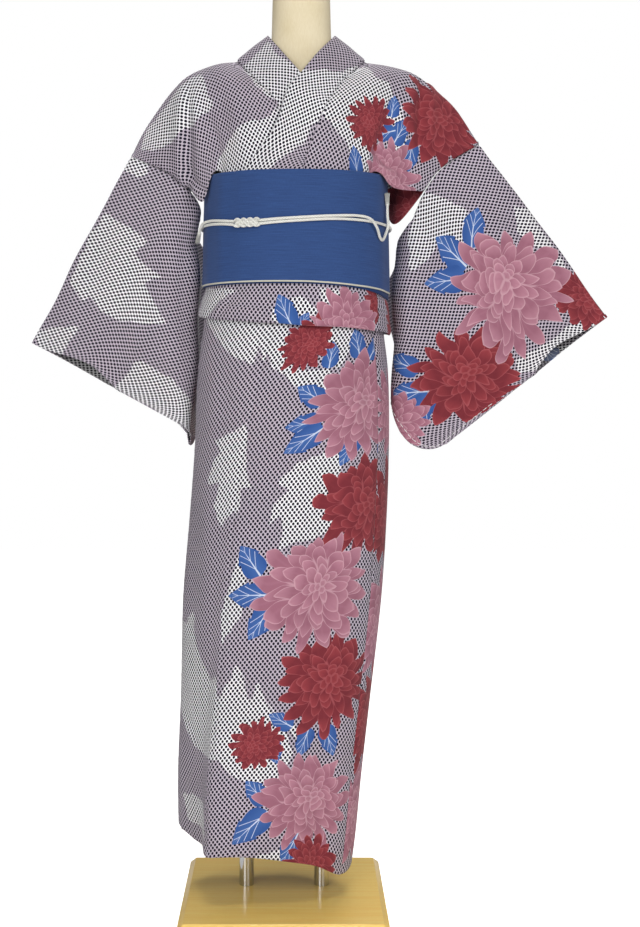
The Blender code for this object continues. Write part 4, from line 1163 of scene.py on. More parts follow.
@dataclass(frozen=True)
class Braid:
    """Braided cord of off-white silk floss: soft sheen, strands crossing in chevrons."""

    # the strands' crests, and the grooves between them darkened as painted shade
    light: str = "#FBFAF4"
    dim: str = "#E2DFD2"

    def finish(self) -> Material:
        """The cord's material: strands 1.1 mm wide, which show as they are."""
        made, tree, shader = material("braided silk floss")
        grain = add(tree, "UVMap", uv_map="grain")
        x, y, _ = axes(tree, grain)
        around, along = x * 4.0, y * (1 / BRAID_PITCH)
        waves = [(wave * (2 * math.pi)).calc("SINE") for wave in (around + along, around - along)]
        strands = waves[0].calc("MAXIMUM", waves[1])
        # painted shade: the strands' crests lighter and the grooves between them darker
        shade = ramp(tree, strands, -0.4, 0.9, 0.0, 1.0)
        colour = mix(tree, shade, self.dim, self.light)
        bump = add(tree, "Bump", Strength=0.7, Distance=0.0004, Height=strands)
        dress(shader, Base_Color=colour, Normal=bump, Roughness=0.55, Sheen_Weight=0.3)
        return made


@dataclass(frozen=True)
class Jersey:
    """Fine knitted jersey stretched over the form: cream, matt, with faint ribs down it."""

    cream: str = "#F1E3C2"
    dim: str = "#E5D4AC"

    def finish(self) -> Material:
        """The form's cover; its ribs, 0.7 mm apart in life, are drawn 1.6 mm apart to show."""
        made, tree, shader = material("cream knitted jersey")
        place = add(tree, "TexCoord").outputs["Object"]
        stretch = add(tree, "Mapping", Vector=place, Scale=(620.0, 620.0, 120.0))
        knit = noise(tree, stretch, 1.0, 1.0)
        shade = ramp(tree, knit.scaled(0.35, noise(tree, place, 14.0, 2.0)), 0.5, 0.85, 0.0, 1.0)
        colour = mix(tree, shade, self.dim, self.cream)
        bump = add(tree, "Bump", Strength=0.4, Distance=0.0002, Height=knit)
        dress(shader, Base_Color=colour, Normal=bump, Roughness=0.7, Sheen_Weight=0.1)
        return made


@dataclass(frozen=True)
class VarnishedBoard:
    """Honey-coloured hardwood board under clear satin varnish, its grain running side to side."""

    light: str = "#FFDD7E"
    dark: str = "#FCD06A"
    pore: str = "#E8B450"

    def finish(self) -> Material:
        """Growth bands about 5 mm apart that wander, with pores a few millimetres long."""
        made, tree, shader = material("varnished hardwood")
        place = add(tree, "TexCoord").outputs["Object"]
        bands = add(tree, "Mapping", Vector=place, Scale=(6.0, 210.0, 210.0))
        bands = noise(tree, bands, 1.0, 3.0, Distortion=0.6)
        fibre = add(tree, "Mapping", Vector=place, Scale=(90.0, 1400.0, 1400.0))
        fibre = noise(tree, fibre, 1.0, 2.0)
        colour = mix(tree, ramp(tree, bands, 0.35, 0.68, 0.0, 1.0), self.dark, self.light)
        pores = ramp(tree, fibre, 0.6, 0.72, 0.0, 0.6)
        colour = mix(tree, pores, colour, self.pore)
        bump = add(tree, "Bump", Strength=0.15, Distance=0.0002, Height=fibre)
        dress(shader, Base_Color=colour, Normal=bump, Roughness=0.35, Coat_Weight=0.45, Coat_Roughness=0.12)
        return made


@dataclass(frozen=True)
class ChromedTube:
    """Bright chrome plate on steel tube, with faint smears of handling."""

    tint: str = "#C9CACC"

    def finish(self) -> Material:
        """Polished plate; smears a few centimetres across roughen it a little."""
        made, tree, shader = material("chromed steel tube")
        place = add(tree, "TexCoord").outputs["Object"]
        rough = ramp(tree, noise(tree, place, 32.0, 3.0), 0.35, 0.7, 0.06, 0.2)
        dress(shader, Base_Color=self.tint, Roughness=rough, Metallic=1.0)
        return made


# ---------------------------------------------------------------- cloth pieces
SETTLE_STEP = 4  # cells of a grid taken as one while its threads first settle
LINKS = (  # the two ends of each kind of thread or diagonal between neighbours of a grid
    (np.s_[:, :-1], np.s_[:, 1:]),
    (np.s_[:-1], np.s_[1:]),
    (np.s_[:-1, :-1], np.s_[1:, 1:]),
    (np.s_[:-1, 1:], np.s_[1:, :-1]),
)


def slacken(grid: Array, laid: Array, rounds: int) -> Array:
    """Move the places of a grid's points until the distances between neighbours suit the grid."""
    wanted = [np.linalg.norm(grid[b] - grid[a], axis=-1) for a, b in LINKS]
    laid = laid.copy()
    for _ in range(rounds):
        shift = np.zeros_like(laid)
        count = np.zeros(laid.shape[:2])
        for (a, b), length in zip(LINKS, wanted):
            gap = laid[b] - laid[a]
            reach = np.maximum(np.linalg.norm(gap, axis=-1), 1e-9)
            push = gap * ((reach - length) / reach / 2)[..., None]
            shift[a] += push
            shift[b] -= push
            count[a] += 1
            count[b] += 1
        laid += shift / count[..., None] * 1.7
    return laid


class Edge(Enum):
    """An edge of a piece's grid: the axis it ends, and at which end."""

    INNER = (1, 0)
    OUTER = (1, -1)
    UPPER = (0, 0)
    LOWER = (0, -1)


@dataclass(frozen=True)
class Grain:
    """How the threads lie on a piece's grid.

    Attributes:
        warp_along_u: the warp runs along u, not along v.
        reference: the line, as a share of the piece's width, that the weft is measured from.
        slope: degrees by which the weft drops away from that line.
        relaxed: the threads then settle until they are stretched as little as can be.
    """

    warp_along_u: bool = False
    reference: float = 0.5
    slope: float = 0.0
    relaxed: bool = False

    def lay(self, points: Array) -> Array:
        """Places in metres across and along the grain, for a grid of points."""
        grid = np.swapaxes(points, 0, 1) if self.warp_along_u else points
        steps = np.linalg.norm(np.diff(grid, axis=1), axis=-1)
        weft = np.concatenate([np.zeros((len(grid), 1)), np.cumsum(steps, axis=1)], axis=1)
        middle = round(self.reference * (grid.shape[1] - 1))
        weft -= weft[:, middle : middle + 1]
        warp = run_along(grid[:, middle])[:, None]
        tilt = math.radians(self.slope)
        laid = np.stack([weft * math.cos(tilt), warp + weft * math.sin(tilt)], axis=-1)
        if self.relaxed:
            laid = self.settle(grid, laid)
        return np.swapaxes(laid, 0, 1) if self.warp_along_u else laid

    def settle(self, grid: Array, laid: Array) -> Array:
        """Move laid threads, coarsely and then finely, until their lengths suit the cloth's form."""
        rows, columns = (np.arange(0, count, SETTLE_STEP) for count in grid.shape[:2])
        coarse = laid[np.ix_(rows, columns)]
        moved = slacken(grid[np.ix_(rows, columns)], coarse, 1200) - coarse
        for count, kept in ((grid.shape[1], columns), (grid.shape[0], rows)):
            lines = [[np.interp(np.arange(count), kept, row) for row in moved[..., i]] for i in (0, 1)]
            moved = np.stack([np.transpose(line) for line in lines], axis=-1)
        return slacken(grid, laid + moved, 60)


@dataclass(frozen=True)
class Bloom:
    """A dahlia of the print: its centre on a view of the robe and reach in millimetres, ink and turn."""

    layer: ClassVar[str] = "bloom"
    x: float
    z: float
    reach: float
    red: bool = False
    turn: float = 0.0
    view: View = View.FRONT

    @property
    def radius(self) -> float:
        """Its radius in metres."""
        return self.reach / 1000


@dataclass(frozen=True)
class Leaf:
    """A leaf: its middle on a view of the robe and length in millimetres, and heading in degrees."""

    layer: ClassVar[str] = "leaf"
    x: float
    z: float
    length: float
    heading: float
    view: View = View.FRONT

    @property
    def radius(self) -> float:
        """Half its length in metres."""
        return self.length / 2000


@dataclass(frozen=True)
class Cloud:
    """A light cloud of the ground, drawn as a polygon in millimetres on a view of the robe."""

    outline: tuple
    view: View = View.FRONT

    def value(self, points: Array, normals: Array) -> Array:
        """1.6 well inside, -1.6 well outside, and 0 at its edge or on another side of the robe."""
        first, second, across, sign = self.view.value
        x, z = points[..., first], points[..., second]
        inside = np.zeros(x.shape, dtype=bool)
        nearest = np.full(x.shape, 1e9)
        corners = np.asarray(self.outline) / 1000
        for (ax, az), (bx, bz) in zip(corners, np.roll(corners, -1, axis=0)):
            crosses = (az > z) != (bz > z)
            at = ax + (z - az) / (bz - az if bz != az else 1e-9) * (bx - ax)
            inside ^= crosses & (x < at)
            length = math.hypot(bx - ax, bz - az)
            along = np.clip(((x - ax) * (bx - ax) + (z - az) * (bz - az)) / length**2, 0.0, 1.0)
            distance = np.hypot(x - ax - along * (bx - ax), z - az - along * (bz - az))
            nearest = np.minimum(nearest, distance)
        value = np.clip(np.where(inside, nearest, -nearest) / 0.009, -1.6, 1.6)
        return np.where(normals[..., across] * sign > 0.1, value, 0.0)


@dataclass(frozen=True)
class Cut:
    """The real cut of a cloth piece."""

    flat: tuple[float, float]
    held: str
    rests_on: tuple = ()
    area: float | None = None

    def declare(self, made: bpy.types.Object) -> None:
        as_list(self.rests_on)


@dataclass
class Cloth:
    """One piece of cloth: a thin shell on a surface, creased, with its edges turned and its print.

    Attributes:
        name: the node it stands for.
        surface: its surface.
        columns: its cells along u.
        rows: its cells along v.
        cut: its real cut.
        slot: its material slot.
        grain: how its threads lie.
        outward: 1 if u turned towards v faces out, -1 if in.
        reverse: its inner side shows the reverse of the print, greyed and darkened as painted shade.
        ring: u closes into a tube.
        turned: the edges whose cloth is turned in.
        puckers: sewn edges that pucker.
        creases: its creases.
        wave: height and the two wavelengths of its slow unevenness.
        wall: thickness of the shell.
        turn_depth: how far in a turned edge lies.
        prints: the flowers and leaves that may reach it.
        clouds: the light clouds drawn on it.
        seed: which of the patterns' clouds and waves it has.
    """

    name: str
    surface: Surface
    columns: int
    rows: int
    cut: Cut
    slot: str = "yukata_cotton"
    grain: Grain = Grain()
    outward: int = 1
    reverse: bool = False
    ring: bool = False
    turned: tuple = ()
    puckers: tuple = ()
    creases: tuple = ()
    wave: tuple = (0.0005, 0.09, 0.3)
    wall: float = 0.0009
    turn_depth: float = 0.0011
    prints: tuple = ()
    clouds: tuple = ()
    seed: int = 1
    points: Array = field(init=False, repr=False)
    places: Array = field(init=False, repr=False)
    normals: Array = field(init=False, repr=False)

    def facing(self, points: Array) -> Array:
        """Outward normals of a grid of points."""
        normals = np.cross(np.gradient(points, axis=1), np.gradient(points, axis=0)) * self.outward
        if self.ring:
            normals[:, 0] = normals[:, -1] = unit(normals[:, 0]) + unit(normals[:, -1])
        return unit(normals)

    def shape(self) -> None:
        """Work out the piece's points, their places in the grain and their normals."""
        u, v = np.meshgrid(np.linspace(0, 1, self.columns + 1), np.linspace(0, 1, self.rows + 1))
        points = self.surface(u.ravel(), v.ravel()).reshape(self.rows + 1, self.columns + 1, 3)
        places = self.grain.lay(points)
        normals = self.facing(points)
        height, across, along = self.wave
        lift = ripple(places, self.seed, height, across, along)
        for crease in self.creases:
            lift += crease.lift(points, normals)
        for edge in self.puckers:
            lift += self.pucker(points, edge)
        if self.ring:
            lift[:, 0] = lift[:, -1] = (lift[:, 0] + lift[:, -1]) / 2
        points = points + normals * lift[..., None]
        self.points, self.places, self.normals = points, places, self.facing(points)
        for edge in self.turned:
            self.turn_in(edge)

    def pucker(self, points: Array, edge: Edge) -> Array:
        """Small uneven puckers that a row of stitches draws into the cloth beside an edge."""
        axis, end = edge.value
        line = points.take(end, axis=axis)
        away = np.linalg.norm(points - np.expand_dims(line, axis), axis=-1)
        run = run_along(line)
        chance = np.random.RandomState(self.seed + 40)
        wave = np.zeros_like(run)
        for length in (0.011, 0.017, 0.029):
            wave += np.sin(2 * math.pi * (run / length + chance.rand() + 0.3 * np.sin(run / 0.05)))
        wave = np.expand_dims(wave, axis)
        groove = -0.0009 * bell(away, 0.003)
        return groove + 0.00055 * wave * np.exp(-away / 0.01) * ease(away / 0.002)

    def turn_in(self, edge: Edge) -> None:
        """Add the narrow strip of cloth that an edge is turned in by."""
        axis, end = edge.value

        def line(values: Array, step: int) -> Array:
            """The row or column of a grid that lies `step` in from the edge."""
            return values.take(step if end == 0 else -1 - step, axis=axis)

        rim, normal = line(self.points, 0), line(self.normals, 0)
        inward = unit(line(self.points, 1) - rim)
        place = line(self.places, 0)
        ahead = place + (place - line(self.places, 1)) / np.linalg.norm(
            place - line(self.places, 1), axis=-1, keepdims=True
        )
        strips = ((0.0002, 0.35), (0.0, 0.8), (-0.0008, 1.0), (-0.005, 1.0))
        grids = [self.points, self.places, self.normals]
        for count, (out, deep) in enumerate(strips, start=1):
            added = (
                rim - inward * out - normal * self.turn_depth * deep,
                place + (ahead - place) * 0.0012 * count, normal,
            )
            for i, value in enumerate(added):
                value = np.expand_dims(value, axis)
                parts = (value, grids[i]) if end == 0 else (grids[i], value)
                grids[i] = np.concatenate(parts, axis=axis)
        self.points, self.places, self.normals = grids

    def build(self, finishes: Sequence[Material]) -> None:
        """Args:
            finishes: its material, or the eight of the printed cotton.
        """
        self.shape()
        rows, columns = self.points.shape[0] - 1, self.points.shape[1] - 1
        shape = bmesh.new()
        bmesh.ops.create_grid(shape, x_segments=columns, y_segments=rows, size=0.5)
        mesh = bpy.data.meshes.new(self.name)
        shape.to_mesh(mesh)
        shape.free()
        flat = np.empty(len(mesh.vertices) * 3)
        mesh.vertices.foreach_get("co", flat)
        flat = flat.reshape(-1, 3)
        u = np.rint((flat[:, 0] + 0.5) * columns).astype(int)
        v = np.rint((flat[:, 1] + 0.5) * rows).astype(int)
        mesh.vertices.foreach_set("co", self.points[v, u].astype(np.float32).ravel())
        corners = np.empty(len(mesh.loops), dtype=np.int32)
        mesh.loops.foreach_get("vertex_index", corners)
        places = self.places[v[corners], u[corners]]
        layer = mesh.uv_layers.new(name="grain")
        layer.uv.foreach_set("vector", places.astype(np.float32).ravel())
        for finish in finishes:
            mesh.materials.append(finish)
        if len(finishes) > 1:
            self.dye(mesh, places, (u, v))
        if self.ring:
            shape = bmesh.new()
            shape.from_mesh(mesh)
            bmesh.ops.remove_doubles(shape, verts=shape.verts, dist=0.00002)
            shape.to_mesh(mesh)
            shape.free()
        mesh.shade_smooth()
        made = place_piece(f"{self.name}_cloth", mesh, self.slot, self.name)
        thicken = made.modifiers.new("wall", "SOLIDIFY")
        thicken.thickness = self.wall
        thicken.offset = 0.0
        thicken.material_offset = len(finishes) // 2 * self.reverse
        self.cut.declare(made)
        LOG.info("%s: %d faces", made.name, len(mesh.polygons))

    def fit(self, item: Bloom | Leaf) -> tuple[Array, Array] | None:
        """The place of a flower or leaf in the piece's grain.

        Args:
            item: the flower or leaf.

        Returns:
            Its centre and the 2x2 matrix from its view's axes to the grain, or None if out of reach.
        """
        first, second, across, sign = item.view.value
        seen = self.normals[..., across] * sign > 0.25
        if not seen.any():
            return None
        points = self.points[seen][:, [first, second]]
        places = self.places[seen]
        target = np.array((item.x, item.z)) / 1000
        away = np.linalg.norm(points - target, axis=1)
        if away.min() > item.radius * 1.1:
            return None
        near = np.argsort(away)[:40]
        rows = np.column_stack([points[near] - target, np.ones(len(near))])
        fitted, *_ = np.linalg.lstsq(rows, places[near], rcond=None)
        return fitted[2], fitted[:2].T

    def dye(self, mesh: bpy.types.Mesh, places: Array, index: tuple[Array, Array]) -> None:
        """Give the mesh the coordinates of the flowers, leaves and clouds that its faces carry."""
        u, v = index
        clouds = np.zeros(self.points.shape[:2])
        for cloud in self.clouds:
            value = cloud.value(self.points, self.normals)
            clouds = np.where((clouds == 0) | (value > clouds), value, clouds)
        facts = mesh.attributes.new("cloud", "FLOAT_VECTOR", "POINT")
        values = np.stack([clouds[v, u], np.full(len(u), self.seed * 3.7), np.zeros(len(u))], axis=1)
        facts.data.foreach_set("vector", values.astype(np.float32).ravel())
        sizes = np.empty(len(mesh.polygons), dtype=np.int32)
        mesh.polygons.foreach_get("loop_total", sizes)
        owner = np.repeat(np.arange(len(sizes)), sizes)
        middles = np.stack([np.bincount(owner, places[:, i]) / sizes for i in (0, 1)], axis=1)
        layers: dict[str, list] = {"leaf_0": [], "leaf_1": [], "bloom_0": [], "bloom_1": []}
        for item in self.prints:
            found = self.fit(item)
            if found is None:
                continue
            centre, across = found
            room = [
                min([math.dist(centre, near[0]) - item.radius - near[2] for near in kept], default=math.inf)
                for kept in (layers[f"{item.layer}_0"], layers[f"{item.layer}_1"])
            ]
            best = 0 if room[0] > 0 or room[0] >= room[1] else 1
            layers[f"{item.layer}_{best}"].append((centre, across, item.radius * 1.06, item))
        kinds = np.zeros(len(sizes), dtype=np.int32)
        for name, kept in layers.items():
            uv = np.full(places.shape, OFF_PIECE)
            facts = np.zeros((len(sizes), 3))
            for count, (centre, across, size, item) in enumerate(kept):
                faces = np.linalg.norm(middles - centre, axis=1) < size + 0.006
                chosen = faces[owner]
                if isinstance(item, Leaf):
                    way = math.radians(item.heading)
                    heading = unit(across @ np.array((math.cos(way), math.sin(way))))
                else:
                    heading = np.array((math.cos(item.turn), math.sin(item.turn)))
                    facts[faces] = (float(item.red), count + item.turn * 7 + self.seed, 0.0)
                offset = (places[chosen] - centre) / item.radius
                side = np.array((-heading[1], heading[0]))
                uv[chosen] = np.stack([offset @ heading, offset @ side], axis=1)
                kinds[faces] |= 1 if isinstance(item, Leaf) else 2
            layer = mesh.uv_layers.new(name=name)
            layer.uv.foreach_set("vector", uv.astype(np.float32).ravel())
            if name.startswith("bloom"):
                made = mesh.attributes.new(f"{name}_facts", "FLOAT_VECTOR", "FACE")
                made.data.foreach_set("vector", facts.astype(np.float32).ravel())
        mesh.polygons.foreach_set("material_index", kinds)


def place_object(name: str, mesh: bpy.types.Mesh) -> bpy.types.Object:
    """Put a mesh in the scene as a named object."""
    made = bpy.data.objects.new(name, mesh)
    bpy.context.scene.collection.objects.link(made)
    return made


def place_piece(name: str, mesh: bpy.types.Mesh, slot: str, *nodes: str) -> bpy.types.Object:
    """Put a piece of the robe or stand in the scene, in place of its nodes."""
    made = place_object(name, mesh)
    if nodes:
        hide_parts(*nodes)
    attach(made, "root")
    return made


def finish_mesh(shape: Shape, name: str, *finishes: Material) -> bpy.types.Mesh:
    """Turn a bmesh into a smooth mesh with its materials, its faces pointing outwards."""
    bmesh.ops.recalc_face_normals(shape, faces=shape.faces)
    mesh = bpy.data.meshes.new(name)
    shape.to_mesh(mesh)
    shape.free()
    for finish in finishes:
        mesh.materials.append(finish)
    mesh.shade_smooth()
    return mesh


def along_path(path: Array, radius: Array | float, sides: int, relief: float = 0.0) -> Shape:
    """A round tube along a path, with its ends closed.

    Args:
        path: the points of its axis.
        radius: its radius, or one for each point.
        sides: its faces around.
        relief: height of the braid's strands, as a share of the radius.

    Returns:
        The tube; its "grain" UV runs once around and, in metres, along.
    """
    path = np.asarray(path, dtype=float)
    radius = np.broadcast_to(radius, len(path))
    ways = unit(np.gradient(path, axis=0))
    side = unit(np.cross(ways[0], (0.0, 0.0, 1.0) if abs(ways[0][2]) < 0.9 else (1.0, 0.0, 0.0)))
    sides_at = []
    for way in ways:
        side = unit(side - way * np.dot(side, way))
        sides_at.append(side)
    across = np.array(sides_at)
    beside = np.cross(ways, across)
    run = run_along(path)
    shape = bmesh.new()
    bmesh.ops.create_grid(shape, x_segments=sides, y_segments=len(path) - 1, size=0.5)
    layer = shape.loops.layers.uv.new("grain")
    for face in shape.faces:
        for corner in face.loops:
            row = round((corner.vert.co.y + 0.5) * (len(path) - 1))
            corner[layer].uv = (corner.vert.co.x + 0.5, run[row])
    for vert in shape.verts:
        row = round((vert.co.y + 0.5) * (len(path) - 1))
        turn = (vert.co.x + 0.5) * 2 * math.pi
        along = run[row] / BRAID_PITCH * 2 * math.pi
        strand = max(math.sin(4 * turn + along), math.sin(4 * turn - along))
        reach = radius[row] * (1 + relief * (strand - 0.6))
        vert.co = Vector(path[row] + (across[row] * math.cos(turn) + beside[row] * math.sin(turn)) * reach)
    bmesh.ops.remove_doubles(shape, verts=shape.verts, dist=0.00001)
    bmesh.ops.holes_fill(shape, edges=[e for e in shape.edges if e.is_boundary], sides=0)
    return shape


def join(parts: Sequence[Shape]) -> Shape:
    """One bmesh of several, which are freed."""
    whole = bmesh.new()
    whole.loops.layers.uv.new("grain")
    for part in parts:
        mesh = bpy.data.meshes.new("part")
        part.to_mesh(mesh)
        part.free()
        whole.from_mesh(mesh)
        bpy.data.meshes.remove(mesh)
    return whole


# ---------------------------------------------------------------- what is printed and creased where
SLEEVE_PRINTS = (
    Bloom(330, 918, 99, turn=3.6), Bloom(270, 789, 88, red=True, turn=4.3),
    Bloom(457, 910, 60, red=True, turn=0.2), Bloom(168, 719, 56, turn=0.9), Leaf(282, 1014, 60, 80),
    Leaf(248, 976, 68, 136), Leaf(240, 933, 64, 188), Leaf(177, 810, 54, 150), Leaf(185, 767, 56, 185),
    Leaf(205, 739, 56, 250), Bloom(310, 900, 84, turn=0.5, view=View.BACK),
    Bloom(225, 785, 78, red=True, turn=0.5, view=View.BACK), Leaf(395, 830, 60, 300, view=View.BACK),
    Leaf(220, 880, 60, 170, view=View.BACK),
)
BODY_PRINTS = (
    Bloom(234, 1167, 78, red=True, turn=3.3), Bloom(126, 1160, 43, red=True, turn=4.0),
    Bloom(150, 1078, 62, turn=1.2), Leaf(160, 1186, 34, 80), Leaf(171, 1150, 46, 60),
    Leaf(146, 1145, 40, 200), Leaf(186, 1116, 48, 262), Leaf(103, 1101, 42, 98),
    Bloom(120, 1150, 75, turn=0.5, view=View.BACK),
    Bloom(186, 1046, 62, red=True, turn=0.8, view=View.BACK), Leaf(60, 1110, 60, 200, view=View.BACK),
)
SKIRT_PRINTS = (
    Bloom(32, 836, 41, red=True, turn=3.2), Leaf(68, 822, 40, 80), Leaf(106, 839, 46, 100),
    Leaf(132, 837, 46, 72), Bloom(111, 749, 87, turn=3.8), Leaf(39, 765, 50, 148), Leaf(28, 723, 50, 190),
    Leaf(29, 700, 60, 212), Leaf(94, 687, 52, 240), Leaf(144, 686, 30, 270),
    Bloom(115, 604, 80, red=True, turn=3.4), Bloom(46, 486, 92, turn=3.3), Leaf(-47, 529, 56, 124),
    Leaf(-48, 480, 62, 182), Leaf(-32, 443, 60, 236), Bloom(62, 353, 82, red=True, turn=3.9),
    Bloom(-39, 268, 40, red=True, turn=0.6), Leaf(-4, 301, 40, 150), Leaf(-14, 257, 40, 285),
    Leaf(29, 268, 44, 250), Leaf(65, 267, 48, 285), Bloom(32, 181, 79, turn=3.5), Leaf(-39, 198, 48, 132),
    Leaf(-48, 147, 66, 222), Leaf(9, 114, 50, 240), Bloom(39, 83, 50, red=True, turn=0.5),
    Bloom(-18, 588, 86, red=True, turn=0.5, view=View.LEFT), Bloom(-10, 742, 72, turn=0.9, view=View.LEFT),
    Bloom(-20, 432, 82, turn=0.5, view=View.LEFT), Bloom(-20, 290, 78, red=True, turn=0.3, view=View.LEFT),
    Bloom(-20, 155, 78, turn=0.2, view=View.LEFT), Leaf(78, 370, 58, 60, view=View.LEFT),
    Leaf(80, 520, 58, 20, view=View.LEFT), Bloom(80, 700, 74, red=True, turn=0.4, view=View.BACK),
    Bloom(45, 540, 84, turn=0.7, view=View.BACK), Bloom(75, 380, 74, red=True, turn=0.1, view=View.BACK),
    Bloom(30, 230, 82, turn=0.5, view=View.BACK), Leaf(-20, 480, 58, 200, view=View.BACK),
    Leaf(-35, 300, 58, 160, view=View.BACK), Leaf(-30, 510, 54, 150, view=View.BACK),
    Leaf(0, 310, 60, 100, view=View.BACK),
)
TUCK_PRINTS = (
    Leaf(2, 884, 50, 112), Leaf(28, 869, 30, 60), Bloom(88, 860, 62, turn=1.7),
    Bloom(145, 902, 40, red=True, turn=0.2), Bloom(70, 895, 55, red=True, turn=0.7, view=View.BACK),
)
SLEEVE_CLOUDS = (
    Cloud((
        (-264, 1035), (-240, 1017), (-204, 993), (-222, 973), (-204, 952), (-184, 940), (-209, 931),
        (-195, 905), (-172, 868), (-213, 868), (-255, 872), (-275, 890), (-287, 910), (-302, 899),
        (-314, 919), (-323, 931), (-302, 979), (-284, 1014),
    )),
    Cloud(((-376, 860), (-347, 863), (-305, 866), (-320, 842), (-329, 822), (-361, 830))),
    Cloud((
        (-219, 825), (-198, 810), (-166, 792), (-148, 771), (-136, 745), (-130, 697), (-160, 709),
        (-198, 739), (-255, 774), (-234, 795),
    )),
    Cloud(((-228, 1121), (-204, 1112), (-203, 1094), (-216, 1090), (-237, 1103))),
    Cloud((
        (202, 1068), (239, 1056), (264, 1044), (276, 1029), (268, 986), (231, 993), (219, 971), (217, 961),
        (190, 949), (181, 961), (190, 1016),
    )),
    Cloud(((341, 1048), (365, 1041), (409, 970), (418, 952), (391, 976), (368, 989), (347, 1005))),
    Cloud((
        (412, 860), (431, 872), (480, 878), (468, 860), (424, 827), (372, 798), (347, 792), (344, 816),
        (372, 830), (394, 842),
    )),
)
SKIRT_CLOUDS = (
    Cloud((
        (-111, 875), (-31, 875), (-37, 843), (-37, 820), (-38, 795), (-54, 806), (-74, 817), (-88, 832),
        (-101, 849),
    )),
    Cloud((
        (-28, 875), (9, 875), (9, 836), (24, 806), (64, 800), (81, 760), (41, 766), (18, 772), (1, 786),
        (-17, 800), (-28, 817), (-31, 843),
    )),
    Cloud(((61, 875), (101, 875), (95, 826), (78, 797), (58, 826))),
    Cloud((
        (-52, 725), (-82, 710), (-105, 700), (-92, 683), (-102, 670), (-115, 630), (-95, 636), (-104, 606),
        (-91, 566), (-75, 586), (-64, 603), (-65, 634), (-47, 633), (-58, 657), (-52, 700),
    )),
    Cloud((
        (78, 684), (24, 672), (3, 657), (-11, 639), (2, 630), (-17, 603), (-21, 579), (-4, 593), (-5, 546),
        (24, 554), (66, 569), (81, 586), (55, 607), (66, 629), (81, 657),
    )),
    Cloud((
        (-65, 540), (-74, 500), (-84, 471), (-89, 434), (-88, 409), (-74, 429), (-62, 454), (-54, 483),
        (-52, 511),
    )),
    Cloud((
        (-157, 414), (-134, 443), (-127, 400), (-114, 368), (-105, 351), (-95, 371), (-95, 317),
        (-82, 357), (-67, 381), (-57, 363), (-47, 337), (-37, 353), (-24, 328), (9, 278), (15, 254),
        (-2, 225), (-17, 197), (-31, 205), (-57, 214), (-77, 225), (-94, 243), (-114, 240), (-131, 251),
        (-142, 268), (-160, 300),
    )),
    Cloud(((-68, 97), (-34, 107), (5, 115), (9, 83), (-31, 83))),
    Cloud(((-148, 168), (-118, 168), (-115, 125), (-145, 131))),
    Cloud(((12, 306), (24, 286), (18, 266), (6, 286))),
)
TUCK_CLOUDS = (
    Cloud(((-125, 869), (-115, 920), (-83, 920), (-65, 914), (-91, 900), (-108, 883), (-122, 869))),
    Cloud(((-25, 866), (-19, 889), (1, 903), (23, 900), (41, 883), (23, 864))),
    Cloud(((55, 914), (95, 914), (88, 900), (61, 900))),
)
CHEST_CLOUDS = (
    Cloud((
        (-64, 1248), (-23, 1295), (-5, 1266), (21, 1234), (89, 1231), (99, 1243), (123, 1251), (131, 1225),
        (155, 1222), (163, 1193), (147, 1150), (128, 1120), (120, 1086), (99, 1094), (89, 1120),
        (75, 1144), (56, 1167), (35, 1150), (27, 1123), (2, 1106), (-23, 1086), (-101, 1080), (-98, 1106),
        (-84, 1132), (-64, 1150), (-40, 1161), (-32, 1155), (-20, 1170), (-10, 1187), (-32, 1205),
        (-49, 1225),
    )),
    Cloud((
        (-125, 1234), (-145, 1225), (-180, 1196), (-203, 1157), (-212, 1132), (-194, 1125), (-165, 1135),
        (-151, 1152), (-136, 1158), (-122, 1173), (-104, 1179), (-101, 1190), (-113, 1211),
    )),
    Cloud(((152, 1176), (172, 1187), (187, 1120), (169, 1106), (157, 1135))),
)
BODY_CREASES = table(
    Crease,
    (((-139, 1225), (-142, 1150), (-140, 1080), (-136, 1040)), 8, 8.5, 0.7),
    (((206, 1240), (204, 1180), (200, 1115)), 8, 8, -0.7),
    (((-120, 1190), (-108, 1130), (-104, 1080)), 10, 3.7, 0.6),
    (((-90, 1225), (-85, 1160), (-78, 1090)), 14, 3.1, -0.5),
    (((165, 1225), (155, 1160), (140, 1095)), 12, 3.7, -0.6),
    (((120, 1225), (108, 1160), (100, 1095)), 14, 3.1, 0.5),
    (((-150, 1105), (-125, 1070), (-110, 1060)), 6, 4.3, 0.8),
    (((120, 1128), (150, 1100), (185, 1085)), 6, 4.8, 0.8),
    (((-90, 1215), (-70, 1150), (-62, 1090)), 12, 3.4, 0.5, View.BACK),
    (((145, 1215), (130, 1150), (118, 1090)), 12, 3.4, -0.5, View.BACK),
    (((200, 1190), (180, 1140), (160, 1100)), 10, 4.3, 0.6, View.BACK),
    (((-160, 1190), (-140, 1140), (-120, 1100)), 10, 4.3, -0.6, View.BACK),
)
